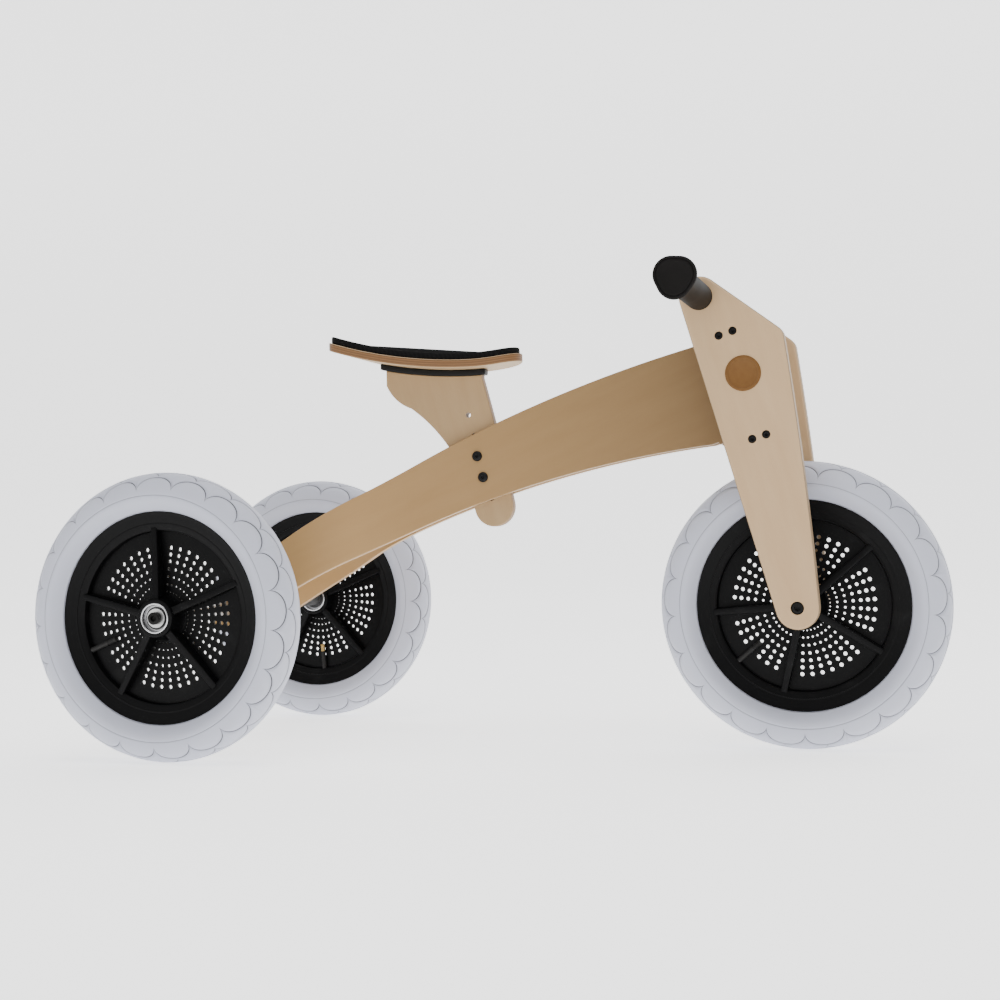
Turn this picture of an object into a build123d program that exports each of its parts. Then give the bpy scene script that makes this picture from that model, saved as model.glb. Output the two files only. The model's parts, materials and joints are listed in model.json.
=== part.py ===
"""Child's balance tricycle: bent-plywood frame, plywood fork and three moulded wheels.

The frame runs along X with the fork at +X, Z is up and the origin is on the
ground under the middle of the tricycle.  All sizes are in millimetres.
"""
import os
from math import atan2, cos, degrees, radians, sin, sqrt, tan

from build123d import *

# ---------------------------------------------------------------- driving sizes
WHEELBASE = 644          # front axle to rear axle
TRACK = 408              # between the middles of the rear wheels
FIT = 0.1                # radial room round a bolt or a rod that does not turn
RUN = 0.05               # radial room in a bearing
GAP = 0.3                # room between pieces that turn past each other
BOLT_ROOM = 2            # from a bolt's tip to the end of its hole

# wheels
TYRE_R = 152.5           # outer radius of the tyre
TYRE_HALF_W = 26         # half the width of the tyre, and the radius of its crown
TYRE_WALL = 4            # thickness of the rubber
BEAD_W = 3               # thickness of the foot that sits in the rim
BEAD_LAP = 2             # how far that foot runs up into the wall
TUBE_WALL = 1.5          # thickness of the inner tube
RIM_R = 111.5            # radius of the rim's edge
RIM_HALF_W = 14.6        # half the width over the rim's edges
RIM_LIP = 3.1            # thickness of a rim edge
RIM_FLOOR_R = 98         # radius of the floor that the tyre's beads sit on
RIM_FLOOR_T = 1
RIM_TAPER = 1.4          # how much narrower the rim is at its floor than at its edges
RIM_STEP_HALF_W = 8      # half the width of the step where the disc meets the rim
RIM_STEP_R = 2           # and how far out it lies from the disc's edge
WEB_R = 90               # where the thin disc runs into the rim
WEB_T = 3                # thickness of the disc
HUB_HALF_W = 22.5        # half the length of the plastic hub
HUB_WALL = 4             # plastic round the metal sleeve
HUB_FOOT_W = 7           # how far the hub spreads over the disc
HUB_FOOT_H = 2           # height and width of the bevel that ends it
RIB_COUNT = 5
RIB_W = 7
RIB_DROP = 2             # from the hub's end down to the top of a rib
RIB_RIM_HALF_W = 9       # half the width over a rib where it meets the rim
RIB_LAP_HUB, RIB_LAP_RIM = 1, 3          # how far a rib runs into the hub and the rim
SLEEVE_R = 16            # outside of the metal hub sleeve
SLEEVE_HALF_W = 23.5
SLEEVE_CHAMFER = 0.5
SLEEVE_LAND = 1.5        # shoulder behind each bearing
BEARING_R = 14
BEARING_W = 8
BEARING_INSET = 5.5      # from the sleeve's end to the bearing's face
SEAL_W = 4
SEAL_DEPTH = 0.6         # how far the seals are set back
VALVE_R = 3
VALVE_SIDE = 5           # the valve stands this far to the right of the disc's middle
VALVE_END_R = 60         # how far in towards the hub the valve reaches
VALVE_CAP_L = 8
VALVE_BEVEL = 1          # on the cap's two ends
VALVE_FOOT_L = 3         # wider foot inside the tyre
VALVE_FOOT_R = 3.3

# axles
AXLE_R = 6
AXLE_BOLT_R = 4          # M8 bolt in each axle end
AXLE_HEAD_R = 6.5
AXLE_HEAD_L = 6
AXLE_BOLT_L = 18
AXLE_KEY_R, AXLE_KEY_DEPTH = 3.5, 4      # hexagon socket, to its corners
AXLE_RECESS = 8          # depth of the pocket for a front axle bolt's head
AXLE_WASHER_R = 10
WASHER_T = 1.6
SPACER_R = 8

# steering fork
PLATE_GAP = 100          # between the two fork plates
PLATE_T = 18
PLATE_EDGE_R = 2.5
CROWN_R = 21.5           # rounding of the plate about the handlebar
TOE_R = 22.3             # rounding of the plate about the axle
BROW_R = 14              # rounding of the plate's front corner
BROW_X, BROW_Z = -21.5, 429.7    # centre of that corner, from the front axle and the ground
PLATE_BOW = 2.3          # how far the plate's front edge bulges
BAR_X, BAR_Z = -94, 476.4       # handlebar, from the front axle and the ground
HEAD_X, HEAD_Z = -51.05, 382.85  # middle of the steering joint, from the front axle and the ground
RAKE = 16.6              # tilt of the steering joint from upright, degrees
BOARD_PITCH = 113        # between the two cross boards, along the joint
BOARD_T = 17
UPPER_BOARD_REAR = 20    # how far each board reaches behind and ahead of the joint
LOWER_BOARD_REAR = 38
BOARD_FRONT = 20
BOARD_EDGE_R = 2
FORK_BOLT_PITCH = 15
FORK_BOLT_R = 3
FORK_HEAD_R = 4.25
FORK_HEAD_L = 5
FORK_BOLT_L = 40
FORK_RECESS = 6          # depth of the pocket for a fork bolt's head
FORK_KEY_R, FORK_KEY_DEPTH = 2.2, 3      # hexagon socket, to its corners
NUT_R = 5                # cross dowel that a fork bolt screws into
NUT_L = 13
NUT_Y = 30               # from the middle of a board to its cross dowels
STEER_LIMIT = 30         # degrees each way

# handlebar
BAR_R = 12.5
BAR_WALL = 2
GRIP_R = 14.2
GRIP_END = 211           # from the middle to the end of a grip
GUARD_T = 6              # three-cornered guard at the end of a grip
GUARD_CORNER_R = 17.5
GUARD_CORNER_OUT = 4.5   # from the bar's middle to the centre of each corner
GUARD_TURN = -95         # where the lowest corner points, degrees
GUARD_LIP = 2.5          # from the guard's edge to the groove in its face
GROOVE = 1               # width and depth of that groove
BADGE_R = 18.5
BADGE_T = 0.8
BADGE_LIP = 1            # from the badge's edge to its raised ring
BADGE_RING = 2           # width of the ring
BADGE_X, BADGE_Z = -50, 394.7

# frame
ARM_T = 10               # thickness of a bent plywood arm
POST_T = 12              # thickness of the seat post, which keeps the arms apart in front
ARM_REAR_GAP = 100       # between the arms at the rear axle
ARM_END_R = 24           # rounding about the rear axle
ARM_END_ANGLE = 40       # slope of the arm there, degrees
FLARE_START = 215        # where the arms start to part, ahead of the rear axle
FLARE_END = 75
ARM_TOP_MID = (222, 316)         # a point of the top edge, from the rear axle and the ground
ARM_LOW_MID = (262, 257.6)
ARM_END_BACK = 72                # from the front axle back to the last points of both edges
ARM_TOP_END_Z, ARM_LOW_END_Z = 439.6, 326.6
NOSE_BACK = 16           # from the joint to the arms' front ends
BOARD_ROOM = 1.5         # between an arm and a cross board
UPPER_NOTCH = 36         # how far behind the joint the arms are cut for each board
LOWER_NOTCH = 48
BLOCK_W = 36             # head block
BLOCK_HALF_H = 44
BLOCK_FRONT = 17
BLOCK_EDGE_R = 3
TONGUE_BACK = 62         # how far the block's tongue reaches behind the joint
TONGUE_HALF_H = 38
TONGUE_LAP = 2           # how far the tongue runs into the block
HEAD_BOLT_BACK = 28
HEAD_BOLT_PITCH = 50
HEAD_BOLT_R = 3
HEAD_BOLT_HEAD_R = 6
CROSS_HEAD_L = 3         # height of a domed bolt head
CROSS_NUT_L = 5          # height of a cap nut
CROSS_DOME_R = 2         # rounding of both
STEER_BOLT_R = 5
STEER_HEAD_R = 9
STEER_HEAD_L = 6.4
STEER_NUT_L = 8
STEER_WASHER_R = 12
STEER_BOLT_END = 2       # how far the bolt stands out of its nut
BUSH_L = 25
BUSH_WALL = 2.5
BUSH_FLANGE_R = 14
BUSH_FLANGE_T = 2

# seat
POST_X, POST_Z = 304, 264        # middle of the stem's round end, from the rear axle and the ground
POST_TILT = 15.2                 # degrees from upright
POST_HALF_W = 22.5
POST_FRONT = (25.6, 60)  # a point of the stem's front edge, across and up the stem
POST_FRONT_TOP = 26.3    # from the stem's middle to its front edge at the top
POST_STEM_UP = 20        # straight part of the stem's back, above its round end
POST_TOP = 200           # the post is cut from here down to the saddle strip's curve
POST_HEAD_LOW = (-63.5, 135.1)           # points of the post's head, across and up the stem
POST_HEAD_TURN = (-79, 152)
POST_HEAD_BACK = (-84.8, 169)
HOLE_START = 9.5         # lowest hole, above the middle of the stem's round end
HOLE_PITCH = 24.5
HOLE_COUNT = 5
HOLE_R = 3
CLAMP_HOLES = (1, 2)     # holes in use, counted from the lowest
CLAMP_R = 2.9
CLAMP_HEAD_R = 5.75
SEAT_HALF_W = 52         # at the rear
SEAT_CORNER_R = 22       # rear corners
SEAT_NOSE_R = 26
SEAT_REAR, SEAT_FRONT = 120, 338         # seat ends, ahead of the rear axle
SEAT_REAR_Z, SEAT_LOW_Z, SEAT_FRONT_Z = 454.6, 428.2, 435
SEAT_LOW_X = 278
SEAT_PLY_T = 9
PAD_T = 8
PAD_INSET = 3
STRIP_T = 7              # saddle strip between the seat and the post
STRIP_HALF_W = 8
STRIP_CORNER_R = 3
STRIP_REAR, STRIP_FRONT = 171, 296.5
SCREW_R = 2
SCREW_HEAD_R = 4
SCREW_HEAD_L = 2.5
SCREW_L = 36             # a saddle screw, from its head's face to its tip
SCREW_REAR, SCREW_FRONT = 202, 262       # saddle screws, ahead of the rear axle

# ---------------------------------------------------------------- places
FRONT_X, REAR_X = WHEELBASE / 2, -WHEELBASE / 2
AXLE_Z = TYRE_R
PLATE_IN = PLATE_GAP / 2
PLATE_OUT = PLATE_IN + PLATE_T
ARM_IN = POST_T / 2
ARM_OUT = ARM_IN + ARM_T
REAR_IN = ARM_REAR_GAP / 2
REAR_OUT = REAR_IN + ARM_T
ARM_TOP_END = (WHEELBASE - ARM_END_BACK, ARM_TOP_END_Z)
ARM_LOW_END = (WHEELBASE - ARM_END_BACK, ARM_LOW_END_Z)
STRIP_DROP = SEAT_PLY_T + STRIP_T        # from the seat board's top to the strip's underside
BEARING_OUT = SLEEVE_HALF_W - BEARING_INSET
BEARING_IN = BEARING_OUT - BEARING_W

WHEELS = {               # name: x, y and turn of the wheel in degrees
    "front": (FRONT_X, 0, 184.5),
    "rear_right": (REAR_X, -TRACK / 2, 166.3),
    "rear_left": (REAR_X, TRACK / 2, 238.5),
}


def side_plane(x, z, y=0, turn=0):
    """A plane facing the right-hand side of the tricycle, turned by some degrees."""
    return Plane(
        origin=(x, y, z),
        x_dir=(cos(radians(turn)), 0, sin(radians(turn))),
        z_dir=(0, -1, 0),
    )


def cut_plane(face):
    """The plane through a side plane's normal and its x direction, for a revolved section."""
    return Plane(origin=face.origin, x_dir=face.x_dir, z_dir=-face.y_dir)


def turned(face, turn):
    """The same plane with its x direction turned by some degrees."""
    x_dir = face.x_dir * cos(radians(turn)) + face.y_dir * sin(radians(turn))
    return Plane(origin=face.origin, x_dir=x_dir, z_dir=face.z_dir)


def axis_of(face):
    return Axis(face.origin, face.z_dir)


def save(piece, name):
    piece.part.label = name
    export_step(piece.part, f"parts/{name}.step")


# the steering joint: x ahead of it, y to the left, z up along it
HEAD = Plane(
    origin=(FRONT_X + HEAD_X, 0, HEAD_Z),
    x_dir=(cos(radians(RAKE)), 0, sin(radians(RAKE))),
    z_dir=(-sin(radians(RAKE)), 0, cos(radians(RAKE))),
)
BOARD_HEIGHTS = {"upper": BOARD_PITCH / 2, "lower": -BOARD_PITCH / 2}
FORK_BOLTS = [(x * FORK_BOLT_PITCH / 2, z) for z in BOARD_HEIGHTS.values() for x in (-1, 1)]
HEAD_BOLTS = [(-HEAD_BOLT_BACK, z * HEAD_BOLT_PITCH / 2) for z in (-1, 1)]
BOARD_REARS = {"upper": UPPER_BOARD_REAR, "lower": LOWER_BOARD_REAR}
POST = side_plane(REAR_X + POST_X, POST_Z, turn=POST_TILT)
POST_HOLES = [(0, HOLE_START + i * HOLE_PITCH) for i in range(HOLE_COUNT)]
CLAMPS = [POST_HOLES[i] for i in CLAMP_HOLES]


# ---------------------------------------------------------------- wheels
def bulb(inset, foot_r):
    """Outline of the air-filled tyre, set in from the tread, closed at the foot radius."""
    crown_r = TYRE_R - TYRE_HALF_W
    wide = TYRE_HALF_W - inset
    neck = RIM_HALF_W - inset
    crown = ThreePointArc((crown_r, wide), (crown_r + wide, 0), (crown_r, -wide))
    side = TangentArc(crown @ 1, (foot_r, -neck), tangent=(-1, 0))
    foot = Line(side @ 1, (foot_r, neck))
    TangentArc(crown @ 0, foot @ 1, tangent=(-1, 0))


def make_tyre(face):
    bead_out = RIM_HALF_W - RIM_LIP - FIT
    bead_in = bead_out - BEAD_W
    foot_r = RIM_R + FIT
    with BuildPart() as tyre:
        with BuildSketch(cut_plane(face)):
            with BuildLine():
                bulb(0, foot_r)
            make_face()
            with BuildLine():
                bulb(TYRE_WALL, foot_r + TYRE_WALL / 2)
            make_face(mode=Mode.SUBTRACT)
            with Locations(((foot_r + TYRE_WALL / 2 + RIM_FLOOR_R) / 2, 0)):
                Rectangle(foot_r + TYRE_WALL / 2 - RIM_FLOOR_R, 2 * bead_in, mode=Mode.SUBTRACT)
            for side in (1, -1):
                with Locations(((foot_r + RIM_FLOOR_R + BEAD_LAP) / 2, side * (bead_in + bead_out) / 2)):
                    Rectangle(foot_r + BEAD_LAP - RIM_FLOOR_R - FIT, bead_out - bead_in)
        revolve(axis=axis_of(face))
    return tyre


def make_inner_tube(face):
    foot_r = RIM_R + TYRE_WALL
    with BuildPart() as tube:
        with BuildSketch(cut_plane(face)):
            with BuildLine():
                bulb(TYRE_WALL + GAP, foot_r)
            make_face()
            with BuildLine():
                bulb(TYRE_WALL + GAP + TUBE_WALL, foot_r + TUBE_WALL)
            make_face(mode=Mode.SUBTRACT)
        revolve(axis=axis_of(face))
    return tube


def valve_plane(face):
    """The wheel's plane turned to the valve and moved beside the disc."""
    return turned(face, 180 / RIB_COUNT).offset(VALVE_SIDE)


def make_rim(face):
    """Moulded wheel: hub, thin disc, box ribs and the channel for the tyre."""
    bore = SLEEVE_R
    hub_r = SLEEVE_R + HUB_WALL
    half = [
        (bore, HUB_HALF_W),
        (hub_r, HUB_HALF_W),
        (hub_r + HUB_FOOT_W - HUB_FOOT_H, WEB_T / 2 + HUB_FOOT_H),
        (hub_r + HUB_FOOT_W, WEB_T / 2),
        (WEB_R, WEB_T / 2),
        (WEB_R + RIM_STEP_R, RIM_STEP_HALF_W),
        (RIM_FLOOR_R - RIM_FLOOR_T, RIM_HALF_W - RIM_TAPER),
        (RIM_R, RIM_HALF_W),
        (RIM_R, RIM_HALF_W - RIM_LIP),
        (RIM_FLOOR_R, RIM_HALF_W - RIM_LIP),
    ]
    other_half = [(r, -y) for r, y in reversed(half)]
    with BuildPart() as rim:
        with BuildSketch(cut_plane(face)):
            with BuildLine():
                Polyline(*half, *other_half, close=True)
            make_face()
        revolve(axis=axis_of(face))
        rib = [
            (hub_r - RIB_LAP_HUB, HUB_HALF_W - RIB_DROP),
            (WEB_R + RIB_LAP_RIM, RIB_RIM_HALF_W),
            (WEB_R + RIB_LAP_RIM, -RIB_RIM_HALF_W),
            (hub_r - RIB_LAP_HUB, RIB_DROP - HUB_HALF_W),
        ]
        for i in range(RIB_COUNT):
            across = cut_plane(turned(face, i * 360 / RIB_COUNT))
            with BuildSketch(across):
                with BuildLine():
                    Polyline(*rib, close=True)
                make_face()
            extrude(amount=RIB_W / 2, both=True)
        valve = valve_plane(face)
        with BuildSketch(Plane(origin=valve.origin, x_dir=valve.y_dir, z_dir=valve.x_dir)):
            Circle(VALVE_R + FIT)
        extrude(amount=RIM_R, mode=Mode.SUBTRACT)
    return rim


def make_valve(face):
    """Rubber-covered stem that leaves the tube through the rim, with its dust cap."""
    stem = valve_plane(face)
    foot_r = RIM_R + TYRE_WALL - FIT
    with BuildPart() as valve:
        with BuildSketch(cut_plane(stem)):
            with BuildLine():
                Polyline(
                    (foot_r, 0),
                    (foot_r, VALVE_FOOT_R),
                    (foot_r - VALVE_FOOT_L / 2, VALVE_FOOT_R),
                    (foot_r - VALVE_FOOT_L, VALVE_R),
                    (VALVE_END_R + VALVE_CAP_L + VALVE_BEVEL, VALVE_R),
                    (VALVE_END_R + VALVE_CAP_L, VALVE_R - VALVE_BEVEL),
                    (VALVE_END_R + VALVE_CAP_L - VALVE_BEVEL, VALVE_R),
                    (VALVE_END_R + VALVE_BEVEL, VALVE_R),
                    (VALVE_END_R, VALVE_R - VALVE_BEVEL),
                    (VALVE_END_R, 0),
                    close=True,
                )
            make_face()
        revolve(axis=Axis(stem.origin, stem.x_dir))
    return valve


def make_sleeve(face):
    """Metal tube pressed in the hub, with a seat at each end for a bearing."""
    with BuildPart() as sleeve:
        with BuildSketch(face.offset(-SLEEVE_HALF_W)):
            Circle(SLEEVE_R)
            Circle(BEARING_R - SLEEVE_LAND, mode=Mode.SUBTRACT)
        extrude(amount=2 * SLEEVE_HALF_W)
        for start in (-SLEEVE_HALF_W, BEARING_IN):
            with BuildSketch(face.offset(start)):
                Circle(BEARING_R)
            extrude(amount=SLEEVE_HALF_W - BEARING_IN, mode=Mode.SUBTRACT)
        ends = sleeve.edges().filter_by(GeomType.CIRCLE).group_by(Axis.Y)
        chamfer([ends[i].sort_by(SortBy.RADIUS)[-1] for i in (0, -1)], SLEEVE_CHAMFER)
    return sleeve


def make_bearings(face):
    """Two sealed ball bearings, their seals set back from the rings."""
    middle = (AXLE_R + BEARING_R) / 2
    with BuildPart() as bearings:
        for start in (-BEARING_OUT, BEARING_IN):
            with BuildSketch(face.offset(start)):
                Circle(BEARING_R)
                Circle(AXLE_R + RUN, mode=Mode.SUBTRACT)
            extrude(amount=BEARING_W)
        for start in (-BEARING_OUT, -BEARING_IN - SEAL_DEPTH, BEARING_IN, BEARING_OUT - SEAL_DEPTH):
            with BuildSketch(face.offset(start)):
                Circle(middle + SEAL_W / 2)
                Circle(middle - SEAL_W / 2, mode=Mode.SUBTRACT)
            extrude(amount=SEAL_DEPTH, mode=Mode.SUBTRACT)
    return bearings


def make_wheel(name, x, y, turn):
    face = side_plane(x, AXLE_Z, y, turn)
    save(make_tyre(face), f"{name}_tyre")
    save(make_inner_tube(face), f"{name}_inner_tube")
    save(make_rim(face), f"{name}_wheel_moulding")
    save(make_valve(face), f"{name}_valve")
    save(make_sleeve(face), f"{name}_hub_sleeve")
    save(make_bearings(face), f"{name}_bearings")


# ---------------------------------------------------------------- steering fork
def belt(*circles, bow=0.0):
    """Line drawn like a belt round circles listed anticlockwise as (centre, radius).

    The stretch that arrives at the first circle may bulge by bow.
    """
    count = len(circles)
    spans = []
    for i in range(count):
        (here, r1), (there, r2) = circles[i], circles[(i + 1) % count]
        run = Vector(*there) - Vector(*here)
        turn = degrees(atan2(run.Y, run.X))
        lean = degrees(atan2(r1 - r2, sqrt(run.length ** 2 - (r1 - r2) ** 2)))
        out = Vector(1, 0).rotate(Axis.Z, turn - 90 + lean)
        spans.append((Vector(*here) + out * r1, Vector(*there) + out * r2, out))
    for i in range(count):
        centre, r = circles[i]
        start, end = spans[i - 1][1], spans[i][0]
        middle = spans[i - 1][2] + spans[i][2]
        if (spans[i - 1][2] - spans[i][2]).length > 0.01:
            ThreePointArc(start, Vector(*centre) + middle.normalized() * r, end)
    for i in range(count):
        start, end, out = spans[i]
        if bow and i == count - 1:
            ThreePointArc(start, (start + end) / 2 + out * bow, end)
        else:
            Line(start, end)


def head_side(y=0):
    """Side plane of the steering joint at some distance to the left."""
    return Plane(origin=(HEAD.origin.X, y, HEAD.origin.Z), x_dir=HEAD.x_dir, z_dir=(0, -1, 0))


def make_plate(side):
    """Fork plate, with room for the bar, the axle's end and the sunk bolt heads."""
    outside = side * PLATE_OUT
    with BuildPart() as plate:
        with BuildSketch(side_plane(FRONT_X, 0, outside)):
            with BuildLine():
                belt(
                    ((BROW_X, BROW_Z), BROW_R),
                    ((BAR_X, BAR_Z), CROWN_R),
                    ((0, AXLE_Z), TOE_R),
                    bow=PLATE_BOW,
                )
            make_face()
        extrude(amount=side * PLATE_T)
        fillet(plate.edges().filter_by(Plane.XZ), PLATE_EDGE_R)
        with BuildSketch(side_plane(FRONT_X, 0, outside)):
            with Locations((BAR_X, BAR_Z)):
                Circle(BAR_R + FIT)
            with Locations((0, AXLE_Z)):
                Circle(AXLE_R + FIT)
        extrude(amount=side * PLATE_T, mode=Mode.SUBTRACT)
        with BuildSketch(side_plane(FRONT_X, AXLE_Z, outside)):
            Circle(AXLE_HEAD_R + GAP)
        extrude(amount=side * AXLE_RECESS, mode=Mode.SUBTRACT)
        with BuildSketch(head_side(outside)):
            with Locations(*FORK_BOLTS):
                Circle(FORK_BOLT_R + FIT)
        extrude(amount=side * PLATE_T, mode=Mode.SUBTRACT)
        with BuildSketch(head_side(outside)):
            with Locations(*FORK_BOLTS):
                Circle(FORK_HEAD_R + FIT)
        extrude(amount=side * FORK_RECESS, mode=Mode.SUBTRACT)
    return plate


def make_board(name):
    """Cross board between the plates, drilled for the steering bolt, fork bolts and dowels."""
    height, rear = BOARD_HEIGHTS[name], BOARD_REARS[name]
    bolt_reach = PLATE_OUT - FORK_RECESS - FORK_BOLT_L - BOLT_ROOM
    with BuildPart() as board:
        with BuildSketch(HEAD.offset(height - BOARD_T / 2)):
            with Locations(((BOARD_FRONT - rear) / 2, 0)):
                Rectangle(BOARD_FRONT + rear, PLATE_GAP)
        extrude(amount=BOARD_T)
        fillet(board.edges().filter_by(Axis.Y), BOARD_EDGE_R)
        with BuildSketch(HEAD.offset(height - BOARD_T / 2)):
            Circle(STEER_BOLT_R + FIT)
        extrude(amount=BOARD_T, mode=Mode.SUBTRACT)
        with BuildSketch(HEAD.offset(height - NUT_L / 2 - FIT)):
            with GridLocations(FORK_BOLT_PITCH, 2 * NUT_Y, 2, 2):
                Circle(NUT_R + FIT)
        extrude(amount=BOARD_T, mode=Mode.SUBTRACT)
        for side in (-1, 1):
            with BuildSketch(head_side(side * PLATE_IN)):
                with Locations(*[(x, z) for x, z in FORK_BOLTS if z == height]):
                    Circle(FORK_BOLT_R + FIT)
            extrude(amount=side * (PLATE_IN - bolt_reach), mode=Mode.SUBTRACT)
    return board


def make_fork_bolts():
    """Eight hex-socket furniture bolts that hold the plates to the boards."""
    with BuildPart() as bolts:
        for side in (-1, 1):
            seat = side * (PLATE_OUT - FORK_RECESS)
            with BuildSketch(head_side(seat)):
                with Locations(*FORK_BOLTS):
                    Circle(FORK_HEAD_R)
            extrude(amount=-side * FORK_HEAD_L)
            with BuildSketch(head_side(seat)):
                with Locations(*FORK_BOLTS):
                    Circle(FORK_BOLT_R)
            extrude(amount=side * FORK_BOLT_L)
            with BuildSketch(head_side(seat + side * FORK_HEAD_L)):
                with Locations(*FORK_BOLTS):
                    RegularPolygon(FORK_KEY_R, 6)
            extrude(amount=side * FORK_KEY_DEPTH, mode=Mode.SUBTRACT)
    return bolts


def make_barrel_nuts():
    """Cross dowels sunk in the boards, one for each fork bolt."""
    with BuildPart() as nuts:
        for height in BOARD_HEIGHTS.values():
            with BuildSketch(HEAD.offset(height - NUT_L / 2)):
                with GridLocations(FORK_BOLT_PITCH, 2 * NUT_Y, 2, 2):
                    Circle(NUT_R)
            extrude(amount=NUT_L)
        with BuildSketch(head_side(PLATE_IN)):
            with Locations(*FORK_BOLTS):
                Circle(FORK_BOLT_R + FIT / 2)
        extrude(amount=PLATE_GAP, mode=Mode.SUBTRACT)
    return nuts


def make_handlebar():
    with BuildPart() as bar:
        with BuildSketch(side_plane(FRONT_X + BAR_X, BAR_Z, GRIP_END - GUARD_T)):
            Circle(BAR_R)
            Circle(BAR_R - BAR_WALL, mode=Mode.SUBTRACT)
        extrude(amount=2 * (GRIP_END - GUARD_T))
    return bar


def guard_outline(inset):
    """Rounded three-cornered outline about the bar, set in from the guard's edge."""
    corners = []
    for i in range(3):
        corner = Vector(GUARD_CORNER_OUT, 0).rotate(Axis.Z, GUARD_TURN + 120 * i)
        corners.append(((corner.X, corner.Y), GUARD_CORNER_R - inset))
    belt(*corners)


def make_grip(side):
    """Rubber grip: a barrel over the bar and a three-cornered guard at its end."""
    face = side_plane(FRONT_X + BAR_X, BAR_Z, side * GRIP_END)
    seat = GRIP_END - GUARD_T
    with BuildPart() as grip:
        with BuildSketch(face):
            with BuildLine():
                guard_outline(0)
            make_face()
        extrude(amount=side * GUARD_T)
        fillet(grip.edges().filter_by(Plane.XZ), GUARD_T / 4)
        with BuildSketch(face):
            with BuildLine():
                guard_outline(GUARD_LIP)
            make_face()
            with BuildLine():
                guard_outline(GUARD_LIP + GROOVE)
            make_face(mode=Mode.SUBTRACT)
        extrude(amount=side * GROOVE, mode=Mode.SUBTRACT)
        with BuildSketch(side_plane(FRONT_X + BAR_X, BAR_Z, side * seat)):
            Circle(GRIP_R)
            Circle(BAR_R + FIT, mode=Mode.SUBTRACT)
        extrude(amount=side * (seat - PLATE_OUT))
    return grip


def make_badges():
    """A plain round inlay on the outside of each plate: a disc with a raised ring."""
    with BuildPart() as badges:
        for side in (-1, 1):
            with BuildSketch(side_plane(FRONT_X + BADGE_X, BADGE_Z, side * PLATE_OUT)):
                Circle(BADGE_R)
            extrude(amount=-side * BADGE_T)
            with BuildSketch(side_plane(FRONT_X + BADGE_X, BADGE_Z, side * (PLATE_OUT + BADGE_T))):
                Circle(BADGE_R - BADGE_LIP)
                Circle(BADGE_R - BADGE_LIP - BADGE_RING, mode=Mode.SUBTRACT)
            extrude(amount=-side * BADGE_T / 2)
    return badges


# ---------------------------------------------------------------- steering joint
BOARD_IN = BOARD_PITCH / 2 - BOARD_T / 2      # from the joint's middle to a board's near face
BOARD_OUT = BOARD_PITCH / 2 + BOARD_T / 2


def make_steering_bolt():
    length = 2 * (BOARD_OUT + WASHER_T) + STEER_NUT_L + STEER_BOLT_END
    with BuildPart() as bolt:
        with BuildSketch(HEAD.offset(BOARD_OUT + WASHER_T)):
            RegularPolygon(STEER_HEAD_R, 6)
        extrude(amount=STEER_HEAD_L)
        with BuildSketch(HEAD.offset(BOARD_OUT + WASHER_T)):
            Circle(STEER_BOLT_R)
        extrude(amount=-length)
    return bolt


def make_steering_nut():
    with BuildPart() as nut:
        with BuildSketch(HEAD.offset(-BOARD_OUT - WASHER_T)):
            RegularPolygon(STEER_HEAD_R, 6)
            Circle(STEER_BOLT_R + FIT / 2, mode=Mode.SUBTRACT)
        extrude(amount=-STEER_NUT_L)
    return nut


def make_steering_washers():
    """Two washers outside the boards and two thrust washers inside them."""
    with BuildPart() as washers:
        for start in (-BOARD_OUT - WASHER_T, -BOARD_IN, BOARD_IN - WASHER_T, BOARD_OUT):
            with BuildSketch(HEAD.offset(start)):
                Circle(STEER_WASHER_R)
                Circle(STEER_BOLT_R + FIT, mode=Mode.SUBTRACT)
            extrude(amount=WASHER_T)
    return washers


def make_bushes():
    """Flanged nylon bushes at both ends of the head block."""
    with BuildPart() as bushes:
        for end in (-1, 1):
            with BuildSketch(HEAD.offset(end * BLOCK_HALF_H)):
                Circle(BUSH_FLANGE_R)
            extrude(amount=end * BUSH_FLANGE_T)
            with BuildSketch(HEAD.offset(end * BLOCK_HALF_H)):
                Circle(STEER_BOLT_R + BUSH_WALL)
            extrude(amount=-end * BUSH_L)
        with BuildSketch(HEAD.offset(-BOARD_IN)):
            Circle(STEER_BOLT_R + RUN)
        extrude(amount=2 * BOARD_IN, mode=Mode.SUBTRACT)
    return bushes


def make_head_block():
    """Beech block that turns on the steering bolt, with a tongue between the arms."""
    with BuildPart() as block:
        with BuildSketch(HEAD.offset(-BLOCK_HALF_H)):
            with Locations(((BLOCK_FRONT - NOSE_BACK) / 2, 0)):
                Rectangle(BLOCK_FRONT + NOSE_BACK, BLOCK_W)
        extrude(amount=2 * BLOCK_HALF_H)
        fillet(block.edges().filter_by(Axis(HEAD.origin, HEAD.z_dir)), BLOCK_EDGE_R)
        with BuildSketch(HEAD.offset(-TONGUE_HALF_H)):
            with Locations((-(TONGUE_BACK + NOSE_BACK - TONGUE_LAP) / 2, 0)):
                Rectangle(TONGUE_BACK - NOSE_BACK + TONGUE_LAP, POST_T)
        extrude(amount=2 * TONGUE_HALF_H)
        with BuildSketch(HEAD.offset(-BLOCK_HALF_H)):
            Circle(STEER_BOLT_R + BUSH_WALL + FIT)
        extrude(amount=2 * BLOCK_HALF_H, mode=Mode.SUBTRACT)
        with BuildSketch(head_side(ARM_IN)):
            with Locations(*HEAD_BOLTS):
                Circle(HEAD_BOLT_R + FIT)
        extrude(amount=POST_T, mode=Mode.SUBTRACT)
    return block


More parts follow.
